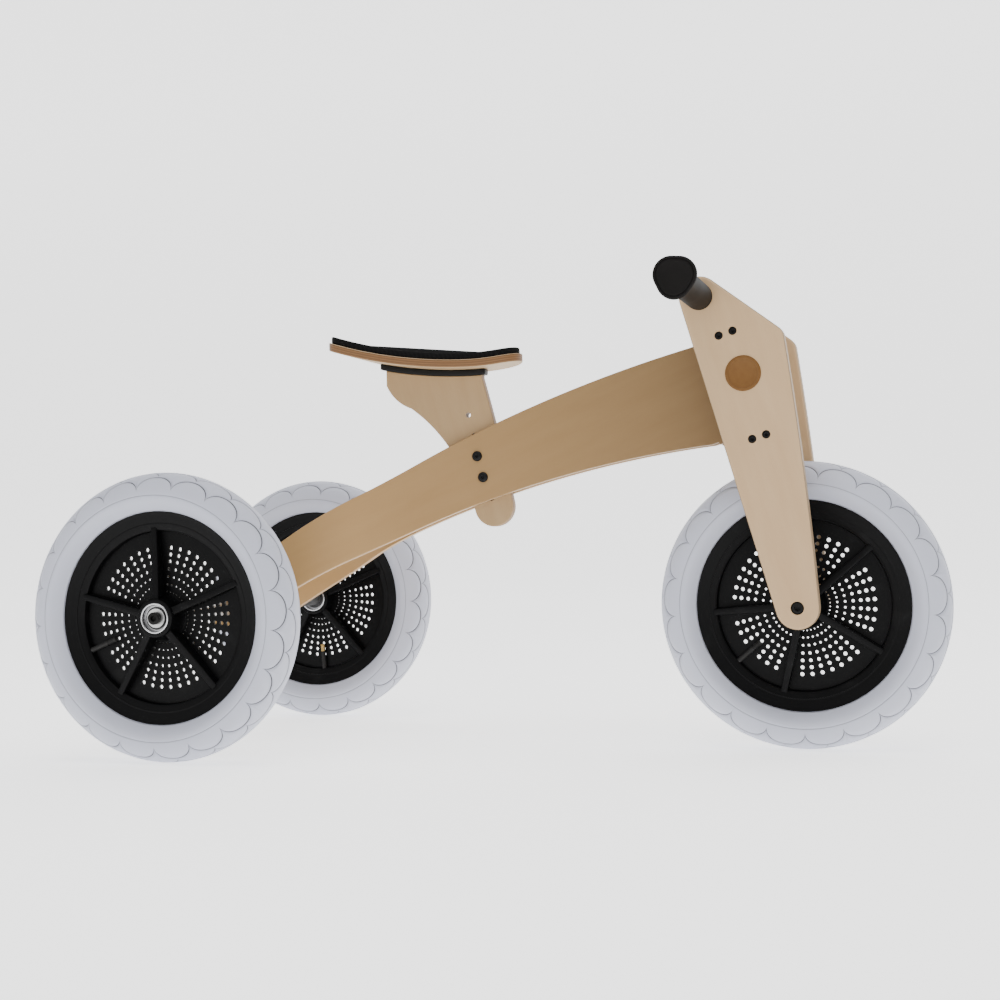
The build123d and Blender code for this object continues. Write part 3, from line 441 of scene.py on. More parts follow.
def soften(piece, angle=35):
    """Shades a piece smooth except over its sharp edges."""
    mesh = piece.data
    made = bmesh.new()
    made.from_mesh(mesh)
    for edge in made.edges:
        if len(edge.link_faces) == 2 and edge.calc_face_angle(0) > radians(angle):
            edge.smooth = False
    made.to_mesh(mesh)
    made.free()
    return piece


for name, body in WHEEL_OF.items():
    soften(build(f"{name}_wheel", placed(wheel_frame(name), moulding[0]), moulding[1], black_nylon, body,
                 "wheel_plastic", [f"{name}_wheel_moulding"]))


# ---------------------------------------------------------------- valves
# Rubber-covered stems moulded on the inner tubes.  They come in through the rim on the
# right-hand side of the disc and end in a ribbed dust cap, which is bare brass on the left
# rear wheel.

def valve_profile():
    stem = [(0.0, 0.113), (0.0033, 0.113), (0.0033, 0.1115), (0.0029, 0.110), (0.0028, 0.0705)]
    cap = [(0.0022, 0.0700), (0.0022, 0.0695), (0.0030, 0.0690)]
    for i in range(5):
        h = 0.0684 - i * 0.0013
        cap += [(0.0030, h), (0.0027, h - 0.0004), (0.0027, h - 0.0008), (0.0030, h - 0.0011)]
    return stem + cap + [(0.0030, 0.0612), (0.0026, 0.0602), (0.0, 0.0600)]


paint = Paint("valve_rubber", specular_ior_level=0.2)
bare = paint.own("bare")
wear = paint.noise(120, 3)
shade = paint.mix(wear, (0.008, 0.008, 0.008), (0.018, 0.017, 0.016))
shade = paint.mix(bare, shade, paint.mix(wear, (0.50, 0.33, 0.12), (0.62, 0.43, 0.18)))
paint.join(paint.shader.inputs["Metallic"], bare * 0.85)
valve_rubber = paint.coat(shade, paint.level(bare, 0.5, 0.3), paint.noise(1500, 2))

BARE_UNDER = 0.0695      # radius in the wheel that the brass end reaches out to
stem_points, stem_faces = lathe(valve_profile(), 20)
for name, body in WHEEL_OF.items():
    place = wheel_frame(name) @ Matrix.Rotation(pi / RIBS, 4, "Z") @ Matrix.Translation((0, 0, 0.005))
    place = place @ Matrix.Rotation(pi / 2, 4, "Y")
    bare_end = [float(name == "rear_left" and z < BARE_UNDER) for x, y, z in stem_points]
    soften(build(f"{name}_valve_stem", placed(place, stem_points), stem_faces, valve_rubber, body,
                 "valve_rubber", [f"{name}_valve"], {"bare": bare_end}))


# ---------------------------------------------------------------- hub sleeves
# A turned aluminium sleeve through each hub.  Its ends stand out of the plastic as thin
# bright rings, and the bearing with its dark seal sits just inside.

paint = Paint("turned_aluminium", metallic=1.0, roughness=0.25)
rings_of_tool = paint.noise(500, 2)
turned_aluminium = paint.even(rings_of_tool, (0.52, 0.52, 0.53), (0.70, 0.70, 0.71), (0.18, 0.34))

sleeve_half = [
    (0.0126, 0.0100), (0.0140, 0.0100), (0.0140, 0.0226), (0.0143, 0.0233), (0.0149, 0.0237),
    (0.0156, 0.0235), (0.0160, 0.0229),
]
sleeve_profile = sleeve_half + [(r, -y) for r, y in reversed(sleeve_half)]
sleeve = lathe(sleeve_profile, 96, closed=True)
for name, body in WHEEL_OF.items():
    soften(build(f"{name}_hub_ring", placed(wheel_frame(name), sleeve[0]), sleeve[1], turned_aluminium, body,
                 "hub_metal", [f"{name}_hub_sleeve"]), 50)


# ---------------------------------------------------------------- bearings
# Sealed ball bearings pressed into the ends of each sleeve: polished steel rings with a
# dark rubber seal set a little way back between them.

paint = Paint("bearing_rings_and_seals")
seal = paint.own("seal")
wear = paint.noise(400, 2)
shade = paint.mix(seal, (0.42, 0.42, 0.43), (0.012, 0.012, 0.013))
paint.join(paint.shader.inputs["Metallic"], 1 - seal)
bearing_finish = paint.coat(shade, paint.level(wear, 0.25, 0.5), wear, 0.0001, 0.2)
BEARING_STEPS = 64

for name, body in WHEEL_OF.items():
    low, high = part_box(f"{name}_bearings")
    out, bore = (high - low).y / 2, 0.00605
    profile = [
        (bore, 0.0, 0), (bore, out - 0.0003, 0), (bore + 0.0003, out, 0), (0.0079, out, 0),
        (0.0081, out - 0.0002, 1), (0.0083, out - 0.0007, 1), (0.0117, out - 0.0007, 1),
        (0.0119, out - 0.0002, 1), (0.0121, out, 0), (0.0136, out, 0), (0.0139, out - 0.0003, 0),
        (0.0139, 0.0101, 0), (0.0120, 0.0101, 0),
    ]
    profile = profile + [(r, -h, s) for r, h, s in reversed(profile[1:])]
    points, faces = lathe([(r, h) for r, h, s in profile], BEARING_STEPS, closed=True)
    sealed = [float(s) for r, h, s in profile] * BEARING_STEPS
    soften(build(f"{name}_bearing_pair", placed(wheel_frame(name), points), faces, bearing_finish, body,
                 "bearing_steel", [f"{name}_bearings"], {"seal": sealed}), 40)


# ---------------------------------------------------------------- frame arms
# Two arms of birch plywood, pressed side by side in front and bent apart towards the
# rear axle.  Their edges show the plies, and the noses are cut to clear the fork.

def arc3(start, through, end, steps):
    """Points of the arc through three points, without the last."""
    (ax, ay), (bx, by), (cx, cy) = start, through, end
    d = 2 * (ax * (by - cy) + bx * (cy - ay) + cx * (ay - by))
    a2, b2, c2 = ax * ax + ay * ay, bx * bx + by * by, cx * cx + cy * cy
    ux = (a2 * (by - cy) + b2 * (cy - ay) + c2 * (ay - by)) / d
    uy = (a2 * (cx - bx) + b2 * (ax - cx) + c2 * (bx - ax)) / d
    r = hypot(ax - ux, ay - uy)
    first, middle, last = (atan2(y - uy, x - ux) for x, y in (start, through, end))
    sweep = (last - first) % tau
    if (middle - first) % tau > sweep:
        sweep -= tau
    turns = [first + sweep * i / steps for i in range(steps)]
    return [(ux + r * cos(a), uy + r * sin(a)) for a in turns]


def belt(circles, bow=0.0):
    """Outline drawn like a belt round circles listed anticlockwise as (centre, radius)."""
    spans = []
    for i, (here, r1) in enumerate(circles):
        there, r2 = circles[(i + 1) % len(circles)]
        run = Vector(there) - Vector(here)
        a = atan2(run.y, run.x) - pi / 2 + atan2(r1 - r2, sqrt(run.length_squared - (r1 - r2) ** 2))
        out = Vector((cos(a), sin(a)))
        spans.append((Vector(here) + out * r1, Vector(there) + out * r2, out))
    points = []
    for i, (centre, r) in enumerate(circles):
        start, (end, after, out) = spans[i - 1][1], spans[i]
        through = Vector(centre) + (spans[i - 1][2] + out).normalized() * r
        points += arc3(start, through, end, 26)
        if bow and i == len(circles) - 1:
            points += arc3(end, (end + after) / 2 + out * bow, after, 40)
        else:
            points += [tuple(end.lerp(after, j / 24)) for j in range(24)]
    return points


def inset(outline, amount):
    """The outline, listed anticlockwise, moved inwards."""
    moved = []
    for i, here in enumerate(outline):
        here = Vector(here)
        before, after = here - Vector(outline[i - 1]), Vector(outline[(i + 1) % len(outline)]) - here
        a, b = Vector((-before.y, before.x)).normalized(), Vector((-after.y, after.x)).normalized()
        moved.append(here + (a + b) * (amount / max(0.4, 1 + a.dot(b))))
    return moved


def board(name, outline, holes, thickness, round_r, bend, finish, body, slot, stands_for, cuts=(), grain=0.0):
    """A board with rounded edges, made flat and then bent; keeps its flat place as 'ply'."""
    made = bmesh.new()
    steps = 5
    turns = [pi / 2 * i / steps for i in range(steps + 1)]
    arc = [(round_r * (1 - sin(a)), round_r * (1 - cos(a))) for a in turns]
    levels = arc + [(side, thickness - depth) for side, depth in reversed(arc)]
    rings = [[made.verts.new((u, v, depth)) for u, v in inset(outline, side)] for side, depth in levels]
    walls = [[[made.verts.new((u, v, depth)) for u, v in hole] for depth in (0, thickness)] for hole in holes]
    for stack in [rings] + walls:
        for below, above in zip(stack, stack[1:]):
            for i in range(len(below)):
                made.faces.new((below[i - 1], below[i], above[i], above[i - 1]))
    for end in (0, -1):
        edges = []
        for stack in [rings] + walls:
            edges += [made.edges.get((stack[end][i - 1], stack[end][i])) for i in range(len(stack[end]))]
        bmesh.ops.triangle_fill(made, use_beauty=True, edges=edges)
    for u in cuts:
        bmesh.ops.bisect_plane(made, geom=made.verts[:] + made.edges[:] + made.faces[:],
                               plane_co=(u, 0, 0), plane_no=(1, 0, 0))
    bmesh.ops.recalc_face_normals(made, faces=made.faces[:])
    made.normal_update()
    for edge in made.edges:
        flat = [abs(face.normal.z) > 0.9999 for face in edge.link_faces]
        edge.smooth = len(flat) != 2 or (flat[0] == flat[1] and edge.calc_face_angle(0) < 0.6)
    mesh = bpy.data.meshes.new(name)
    made.to_mesh(mesh)
    made.free()
    layer = mesh.attributes.new("ply", "FLOAT_VECTOR", "POINT")
    for i, vertex in enumerate(mesh.vertices):
        u, v, w = vertex.co
        layer.data[i].vector = (u * cos(grain) + v * sin(grain), v * cos(grain) - u * sin(grain), w)
        vertex.co = bend(u, v, w)
    return fit_out(name, mesh, finish, body, slot, stands_for)


def plywood(name, pale, warm, edge, plies, thickness, figure=1.0, ends=(1.0, 1.0), shade_span=(0.0, 1.0), seed=0.0):
    """Clear-varnished plywood: long grain on the faces, layers and glue lines on the edges.

    The faces' colour is led from the first of the ends' levels to the second over a stretch along the grain,
    as painted shade.
    """
    paint = Paint(name, coat_weight=0.08, coat_roughness=0.4, specular_ior_level=0.25)
    spot = paint.own("ply", 1)
    depth = paint.node("SeparateXYZ", inputs={0: spot}, output=2) * (1 / thickness)
    moved = paint.node("VectorMath", {"operation": "ADD"}, {0: spot, 1: (seed, seed * 0.7, seed * 0.3)})
    wave = paint.noise(9, 3, (1.2, 9, 9), moved)
    fibre = paint.noise(60, 5, (1.4, 26, 26), moved)
    pores = paint.ramp(paint.noise(240, 2, (0.9, 16, 16), moved), (0.60, (0, 0, 0)), (0.74, (1, 1, 1)))
    along = paint.node("SeparateXYZ", inputs={0: spot}, output=0)
    painted_shade_along_grain = paint.node("MapRange", inputs={0: along, 1: shade_span[0], 2: shade_span[1], 3: ends[0], 4: ends[1]})
    face = paint.mix(paint.ramp(wave, (0.30, (0, 0, 0)), (0.72, (1, 1, 1))) * figure, pale, warm)
    face = paint.mix(fibre * (0.30 * figure), face, tuple(0.62 * c for c in warm))
    face = paint.mix(pores * (0.30 * figure), face, tuple(0.42 * c for c in warm))
    face = paint.node("VectorMath", {"operation": "SCALE"}, {0: face, 3: painted_shade_along_grain})
    layer = depth * plies
    odd = paint.node("Math", {"operation": "PINGPONG"}, {0: layer, 1: 1.0}) > 0.5
    glue = paint.ramp(paint.node("Math", {"operation": "PINGPONG"}, {0: layer + 0.5, 1: 0.5}),
                      (0.0, (1, 1, 1)), (0.09, (0, 0, 0)))
    end_grain = paint.noise(420, 3, (1, 1, 3), moved)
    side = paint.mix(odd, edge, tuple(0.62 * c for c in edge))
    side = paint.mix(end_grain * 0.45, side, tuple(0.45 * c for c in edge))
    side = paint.mix(glue * 0.55, side, (0.05, 0.03, 0.018))
    skin = paint.node("Math", {"operation": "PINGPONG"}, {0: depth, 1: 0.5}) > (0.42 / plies)
    colour = paint.mix(skin, face, side)
    grain_height = fibre * 0.5 + pores * -0.6
    return paint.coat(colour, paint.level(fibre, 0.44, 0.60), grain_height, 0.0002, 0.4)


axle_low, axle_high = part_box("rear_axle")
REAR_AXLE = Vector(((axle_low + axle_high).x / 2, (axle_low + axle_high).z / 2))
ARM_OUT_Y, ARM_REAR_Y = 0.016, -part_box("right_arm")[0].y
ARM_T = 0.010
NEAR, FAR = ARM_OUT_Y - ARM_T / 2, ARM_REAR_Y - ARM_T / 2
FLARE_START, FLARE_END = 0.215, 0.075
steering = next(joint for joint in frame["joints"] if joint["name"] == "steering")
HEAD = Vector(steering["pos_m"])
HEAD_UP = Vector(steering["axis"]).normalized()
HEAD_UP = HEAD_UP if HEAD_UP.z > 0 else -HEAD_UP
HEAD_ON = Vector((0, 1, 0)).cross(HEAD_UP)


def from_head(ahead, up):
    """A point of the joint's side view as (x from the rear axle, z)."""
    spot = HEAD + HEAD_ON * ahead + HEAD_UP * up
    return spot.x - REAR_AXLE.x, spot.z


def to_head(x, z):
    out = Vector((x + REAR_AXLE.x, 0, z)) - HEAD
    return out.dot(HEAD_ON), out.dot(HEAD_UP)


def arm_outline():
    slope, end_r, axle = radians(40), 0.024, REAR_AXLE.y
    low_nose, top_nose, back, half_h = -0.048, -0.036, -0.016, 0.0465
    out = (-sin(slope) * end_r, cos(slope) * end_r)
    top = arc3((out[0], axle + out[1]), (0.222, 0.316), (0.572, 0.4396), 60)
    low = arc3((-out[0], axle - out[1]), (0.262, 0.2576), (0.572, 0.3266), 60)
    end = arc3((out[0], axle + out[1]), (-cos(slope) * end_r, axle - sin(slope) * end_r),
               (-out[0], axle - out[1]), 14)
    top = [p for p in top if to_head(*p)[0] < top_nose - 0.001]
    low = [p for p in low if to_head(*p)[0] < low_nose - 0.001]
    top_end, low_end = to_head(*top[-1])[1], to_head(*low[-1])[1]
    nose = [(low_nose, low_end), (low_nose, -half_h), (back, -half_h), (back, half_h), (top_nose, half_h),
            (top_nose, top_end)]
    return end + low + [from_head(*p) for p in nose] + top[:0:-1]


def arm_bend(side):
    reach, step = (FLARE_START - FLARE_END) / 2, (FAR - NEAR) / 2
    radius = (reach * reach + step * step) / (2 * step)

    def bend(x, z, depth):
        run = FLARE_START - x
        if run < 0:
            across, slope = NEAR, 0.0
        elif run < reach:
            across = NEAR + radius - sqrt(radius * radius - run * run)
            slope = run / sqrt(radius * radius - run * run)
        elif run < 2 * reach:
            rest = 2 * reach - run
            across = FAR - radius + sqrt(radius * radius - rest * rest)
            slope = rest / sqrt(radius * radius - rest * rest)
        else:
            across, slope = FAR, 0.0
        across += (ARM_T / 2 - depth) * sqrt(1 + slope * slope)
        return x + REAR_AXLE.x, side * across, z

    return bend


# The arms' faces get painted shade, darker towards the fork, going from 1.12 down to 0.42 of their colour.
# The arms' pale edge colour is partly birch end grain and partly a painted highlight of light from the floor.
arm_wood = plywood("birch_plywood_arms", (0.400, 0.243, 0.100), (0.350, 0.205, 0.080), (0.62, 0.42, 0.24), 7,
                   ARM_T, figure=0.45, ends=(1.12, 0.42), shade_span=(0.15, 0.70))
AXLE_HOLE_R = 0.0061
CUTS = [FLARE_START - (FLARE_START - FLARE_END) * i / 20 for i in range(21)]
for hand, side in (("right", -1), ("left", 1)):
    axle_hole = circle((0.0, REAR_AXLE.y), AXLE_HOLE_R, 20)[::-1]
    board(f"{hand}_plywood_arm", arm_outline(), [axle_hole], ARM_T, 0.0011, arm_bend(side), arm_wood, "frame",
          "frame_plywood", [f"{hand}_arm"], cuts=CUTS, grain=radians(24))


# ---------------------------------------------------------------- seat post
# A plywood stem clamped between the arms, drilled with a row of holes so that the seat
# can be bolted higher, with a head that runs back under the seat.

SEAT_LOW = Vector((0.278, 0.4282))
SEAT_REAR_R = (0.158 ** 2 + 0.0264 ** 2) / (2 * 0.0264)
SEAT_FRONT_R = (0.060 ** 2 + 0.0068 ** 2) / (2 * 0.0068)


def seat_height(x, drop):
    """Height of the seat's curve at a distance ahead of the rear axle, some way down square to it."""
    radius = (SEAT_REAR_R if x < SEAT_LOW.x else SEAT_FRONT_R) + drop
    return SEAT_LOW.y - drop + radius - sqrt(radius * radius - (x - SEAT_LOW.x) ** 2)


POST_ORIGIN, POST_TILT, POST_T = (0.304, 0.264), radians(15.2), 0.012
POST_HALF_W, POST_HOLE_R = 0.0225, 0.003
FIRST_HOLE, HOLE_PITCH = 0.0095, 0.0245
BOARD_DEPTH, STRIP_DEPTH = 0.009, 0.016          # from the seat's top down


def post_hole(i):
    """Place of a hole, counted up the stem."""
    return from_post(0, FIRST_HOLE + HOLE_PITCH * i)


def from_post(across, up):
    return (POST_ORIGIN[0] + across * cos(POST_TILT) - up * sin(POST_TILT),
            POST_ORIGIN[1] + across * sin(POST_TILT) + up * cos(POST_TILT))


def post_outline():
    half, back_x = POST_HALF_W, from_post(-0.0848, 0.169)[0]
    tail = arc3((-half, 0), (0, -half), (half, 0), 24)
    front = arc3((half, 0), (0.0256, 0.060), (0.0263, 0.200), 60)
    hollow = arc3((-half, 0.020), (-0.0330, 0.0809), (-0.0635, 0.1351), 24)
    turn = arc3((-0.0635, 0.1351), (-0.079, 0.152), (-0.0848, 0.169), 12) + [(-0.0848, 0.169)]
    front = [from_post(*p) for p in tail + front]
    front = [(x, z) for x, z in front if z < seat_height(x, STRIP_DEPTH) - 0.0005]
    top = [front[-1][0] + (back_x - front[-1][0]) * i / 16 for i in range(17)]
    top = [(x, seat_height(x, STRIP_DEPTH)) for x in top]
    return front + top + [from_post(*p) for p in turn[::-1] + hollow[::-1]]


post_wood = plywood("birch_plywood_post", (0.40, 0.270, 0.140), (0.345, 0.218, 0.105), (0.36, 0.22, 0.11), 9,
                    POST_T, figure=0.6, seed=3)
post_holes = [circle(post_hole(i), POST_HOLE_R, 24)[::-1] for i in range(5)]
board("plywood_seat_post", post_outline(), post_holes, POST_T, 0.0012,
      lambda x, z, depth: (x + REAR_AXLE.x, POST_T / 2 - depth, z), post_wood, "frame", "frame_plywood",
      ["seat_post"], grain=pi / 2 + POST_TILT)


# ---------------------------------------------------------------- seat board and strip
# The seat is a curved plywood board with a narrow nose.  A black plastic strip under it
# fills the curve down to the post, and two screws go through both into the post.

def rounded_box(x0, x1, half_w, corner, steps=14):
    """Plan outline, anticlockwise, close enough along the sides to be bent."""
    points = []
    for cx, cy, start in ((x1 - corner, half_w - corner, 0), (x0 + corner, half_w - corner, 90),
                          (x0 + corner, corner - half_w, 180), (x1 - corner, corner - half_w, 270)):
        for i in range(steps + 1):
            a = radians(start + 90 * i / steps)
            points.append((cx + corner * cos(a), cy + corner * sin(a)))
    dense = []
    for here, there in zip(points, points[1:] + points[:1]):
        parts = max(1, ceil(hypot(there[0] - here[0], there[1] - here[1]) / 0.008))
        dense += [(here[0] + (there[0] - here[0]) * i / parts, here[1] + (there[1] - here[1]) * i / parts)
                  for i in range(parts)]
    return dense


def seat_bend(start):
    return lambda x, y, depth: (x + REAR_AXLE.x, y, seat_height(x, start + depth))


seat_low, seat_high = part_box("seat_board")
seat_x0, seat_x1 = seat_low.x - REAR_AXLE.x, seat_high.x - REAR_AXLE.x


def seat_plan(side):
    """Plan of the seat, set in from its edge."""
    nose_r, rear_r = 0.026, 0.022
    rear_x, rear_y = seat_x0 + rear_r, seat_high.y - rear_r
    return belt([((seat_x1 - nose_r, 0), nose_r - side), ((rear_x, rear_y), rear_r - side),
                 ((rear_x, -rear_y), rear_r - side)])


seat_cuts = [seat_x0 + (seat_x1 - seat_x0) * i / 28 for i in range(1, 28)]
seat_wood = plywood("curved_plywood_seat", (0.50, 0.36, 0.21), (0.44, 0.30, 0.16), (0.23, 0.115, 0.045), 7,
                    BOARD_DEPTH, figure=0.6, seed=7)
board("plywood_seat", seat_plan(0), [], BOARD_DEPTH, 0.0012, seat_bend(0),
      seat_wood, "frame", "frame_plywood", ["seat_board"], cuts=seat_cuts)

paint = Paint("black_strip_plastic", specular_ior_level=0.15)
peel = paint.noise(260, 2)
strip_plastic = paint.even(peel, (0.004, 0.004, 0.004), (0.008, 0.008, 0.008), (0.32, 0.5), 0.0002, 0.25)
strip_low, strip_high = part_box("saddle_strip")
strip_x0, strip_x1 = strip_low.x - REAR_AXLE.x, strip_high.x - REAR_AXLE.x
board("curved_strip", rounded_box(strip_x0, strip_x1, strip_high.y, 0.003, 6), [], STRIP_DEPTH - BOARD_DEPTH,
      0.0015, seat_bend(BOARD_DEPTH), strip_plastic, "frame", "strip_plastic", ["saddle_strip"],
      cuts=[strip_x0 + (strip_x1 - strip_x0) * i / 16 for i in range(1, 16)])


# ---------------------------------------------------------------- seat pad
# A firm foam pad under a black woven cover, glued to the seat board.  Its edge is square
# and it follows the board's curve.

PAD_T, PAD_IN = 0.0080, 0.0030


def pad_rings():
    middle = Vector((seat_x0 + (seat_x1 - seat_x0) * 0.42, 0))
    edge = [(0.0006, 0.0), (0.0, 0.0007), (0.0, 0.0030), (0.0001, 0.0055), (0.0004, 0.0067), (0.0011, 0.0074),
            (0.0022, 0.0077), (0.0048, 0.0078), (0.0100, 0.0078)]
    rings = [(seat_plan(PAD_IN + side), up) for side, up in edge]
    last = [Vector(p) for p in rings[-1][0]]
    for share in (0.86, 0.7, 0.52, 0.34, 0.17, 0.04):
        rings.append(([middle + (p - middle) * share for p in last], PAD_T - 0.0002 * share ** 2))
    return [[(x + REAR_AXLE.x, y, seat_height(x, -up)) for x, y in ring] for ring, up in rings]


paint = Paint("black_woven_cover", specular_ior_level=0.06)
spot = paint.place()
warp = paint.node("TexWave", {"bands_direction": "X"}, {"Vector": spot, "Scale": 420.0, "Distortion": 1.2})
weft = paint.node("TexWave", {"bands_direction": "Y"}, {"Vector": spot, "Scale": 420.0, "Distortion": 1.2})
lint = paint.ramp(paint.noise(500, 4), (0.62, (0, 0, 0)), (0.80, (1, 1, 1)))
shade = paint.mix(warp * weft, (0.004, 0.004, 0.004), (0.010, 0.010, 0.010))
shade = paint.mix(lint * 0.3, shade, (0.035, 0.035, 0.035))
cover = paint.coat(shade, paint.level(warp, 0.72, 0.9), warp * weft, 0.0003, 0.6)
rings = pad_rings()
points, faces = loft(rings, closed_loft=False)
faces.append(list(range(len(points) - len(rings[0]), len(points))))
faces.append(list(range(len(rings[0])))[::-1])
pad = build("padded_seat_cover", points, faces, cover, "frame", "pad_fabric", ["seat_pad"])
soften(pad, 60)


# ---------------------------------------------------------------- fork plates
# Two thick plywood plates carry the front wheel.  Their outline wraps the handlebar, the
# front corner and the axle, with rounded edges all the way round.

front_low, front_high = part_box("front_axle")
FRONT_AXLE = Vector(((front_low + front_high).x / 2, (front_low + front_high).z / 2))
plate_low, plate_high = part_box("left_fork_plate")
PLATE_IN, PLATE_OUT = plate_low.y, plate_high.y
bar_low, bar_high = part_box("handlebar")
BAR = Vector(((bar_low + bar_high).x / 2, (bar_low + bar_high).z / 2))
BAR_R = (bar_high - bar_low).z / 2
CROSS_UP = 0.0565                        # from the head's middle to each cross board
FORK_BORE_R, AXLE_BORE_R = 0.0044, 0.0068


def fork_bolt_places():
    """(ahead, up the joint) of the four bolts in each plate."""
    return [(x, z) for z in (CROSS_UP, -CROSS_UP) for x in (-0.0075, 0.0075)]


def at_head(ahead, up):
    spot = HEAD + HEAD_ON * ahead + HEAD_UP * up
    return spot.x, spot.z


front_corner = (FRONT_AXLE.x - 0.0215, 0.4297)
plate_outline = belt([(front_corner, 0.014), (tuple(BAR), 0.0215), (tuple(FRONT_AXLE), 0.0223)], bow=0.0023)
plate_holes = [circle(at_head(*p), FORK_BORE_R, 24)[::-1] for p in fork_bolt_places()]
plate_holes += [circle(FRONT_AXLE, AXLE_BORE_R, 32)[::-1], circle(BAR, BAR_R + 0.0001, 40)[::-1]]
fork_wood = plywood("pale_plywood_fork", (0.53, 0.365, 0.205), (0.465, 0.300, 0.158), (0.44, 0.31, 0.18), 11,
                    PLATE_OUT - PLATE_IN, figure=0.5, seed=11)
for hand, side in (("right", -1), ("left", 1)):
    board(f"{hand}_plywood_plate", plate_outline, plate_holes, PLATE_OUT - PLATE_IN, 0.0025,
          lambda x, z, depth, side=side: (x, side * (PLATE_OUT - depth), z), fork_wood, "fork", "fork_plywood",
          [f"{hand}_fork_plate"], grain=radians(106))


# ---------------------------------------------------------------- cross boards
# Two short plywood boards between the plates, above and below the frame's nose, that
# hold the plates apart and carry the steering bolt.

CROSS_T, CROSS_FRONT, STEER_HOLE_R = 0.017, 0.020, 0.0051
for name, middle, rear in (("upper", CROSS_UP, 0.020), ("lower", -CROSS_UP, 0.038)):
    outline = [(-rear, -PLATE_IN), (CROSS_FRONT, -PLATE_IN), (CROSS_FRONT, PLATE_IN), (-rear, PLATE_IN)]
    board(f"{name}_plywood_board", outline, [circle((0, 0), STEER_HOLE_R, 24)[::-1]], CROSS_T, 0.0012,
          lambda ahead, y, depth, middle=middle: HEAD + HEAD_ON * ahead
          + HEAD_UP * (middle + CROSS_T / 2 - depth) + Vector((0, y, 0)),
          fork_wood, "fork", "fork_plywood", [f"{name}_cross_board"], grain=pi / 2)


# ---------------------------------------------------------------- head block and bushes
# A turned-and-milled beech block, glued and bolted between the arms, with a white nylon
# bush at each end for the steering bolt.

paint = Paint("oiled_beech", specular_ior_level=0.4)
fleck = paint.noise(190, 3, (1, 1, 0.22))
ring = paint.noise(26, 3, (1, 1, 0.12))
shade = paint.mix(ring, (0.47, 0.29, 0.16), (0.37, 0.21, 0.105))
shade = paint.mix(paint.ramp(fleck, (0.58, (0, 0, 0)), (0.72, (1, 1, 1))) * 0.5, shade, (0.20, 0.105, 0.05))
beech = paint.coat(shade, paint.level(fleck, 0.42, 0.58), fleck)

paint = Paint("white_nylon", base_color=(0.72, 0.71, 0.68, 1), subsurface_weight=0.05)
haze = paint.noise(80, 3)
nylon = paint.even(haze, (0.68, 0.67, 0.64), (0.76, 0.75, 0.72), (0.4, 0.55))


def dress(node, finish):
    """Gives a CAD node its finish."""
    piece = frame["nodes"][node]
    piece.data.materials.clear()
    piece.data.materials.append(finish)


dress("head_block", beech)
dress("steering_bushes", nylon)


# ---------------------------------------------------------------- handlebar and grips
# A painted steel tube through both plates, with moulded rubber grips.  Each grip ends in
# a three-cornered guard with a groove that follows the edge of its face.

paint = Paint("black_bar_paint", specular_ior_level=0.2)
peel = paint.noise(300, 2)
bar_paint = paint.even(peel, (0.005, 0.005, 0.005), (0.010, 0.010, 0.010), (0.3, 0.45))
dress("handlebar", bar_paint)

paint = Paint("charcoal_grip_rubber", specular_ior_level=0.08)
bloom = paint.noise(30, 4)
pebble = paint.noise(1300, 2)
shade = paint.mix(bloom, (0.0050, 0.0046, 0.0044), (0.0095, 0.0085, 0.0080))
grip_rubber = paint.coat(shade, paint.level(bloom, 0.55, 0.72), pebble, 0.0003, 0.4)

GRIP_R, GUARD_T = 0.0142, 0.006


def guard_rings():
    """(outline, depth) from the guard's back to the middle of its face, with the groove near its edge."""
    edge = [(0.0150, GUARD_T), (0.0015, GUARD_T), (0.0005, GUARD_T - 0.0005), (0.0, GUARD_T - 0.0015),
            (0.0, 0.0015), (0.0005, 0.0005), (0.0014, 0.0), (0.0021, 0.0), (0.0025, 0.0003),
            (0.0027, 0.0010), (0.0033, 0.0010), (0.0035, 0.0003), (0.0039, 0.0), (0.0052, 0.0),
            (0.0060, 0.0003), (0.0165, 0.0003)]
    for side, depth in edge:
        corners = [radians(-95 + 120 * i) for i in range(3)]
        yield belt([((0.0045 * cos(a), 0.0045 * sin(a)), 0.0175 - side) for a in corners]), depth


for hand, side in (("right", -1), ("left", 1)):
    low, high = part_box(f"{hand}_grip")
    end = max(abs(low.y), abs(high.y))
    rings = [[(BAR.x + x, side * (end - depth), BAR.y + z) for x, z in ring] for ring, depth in guard_rings()]
    points, faces = loft(rings, closed_loft=False)
    faces.append(list(range(len(points) - len(rings[0]), len(points))))
    soften(build(f"{hand}_grip_guard", points, facing(faces, side), grip_rubber, "fork", "grip_rubber",
                 [f"{hand}_grip"]), 50)
    profile = [
        (BAR_R + 0.0001, PLATE_OUT + 0.0003), (0.0136, PLATE_OUT + 0.0003), (0.0141, PLATE_OUT + 0.0008),
        (0.0141, PLATE_OUT + 0.0030), (0.0135, PLATE_OUT + 0.0036), (0.0135, PLATE_OUT + 0.0042),
        (GRIP_R, PLATE_OUT + 0.0050), (GRIP_R, end - GUARD_T - 0.0014),
        (GRIP_R + 0.0010, end - GUARD_T - 0.0003), (GRIP_R + 0.0012, end - GUARD_T + 0.0010),
        (0.0, end - GUARD_T + 0.0010),
    ]
    points, faces = lathe(profile, 72)
    points = [(BAR.x + x, side * h, BAR.y + z) for x, z, h in points]
    soften(build(f"{hand}_grip_barrel", points, facing(faces, side), grip_rubber, "fork", "grip_rubber",
                 [f"{hand}_grip"]), 50)


# ---------------------------------------------------------------- badges
# A plain brown disc pressed into the outside of each plate, with a raised ring.

paint = Paint("brown_disc", specular_ior_level=0.2)
speck = paint.noise(240, 3)
badge_brown = paint.even(speck, (0.125, 0.056, 0.014), (0.165, 0.078, 0.022), (0.35, 0.5), strength=0.25)

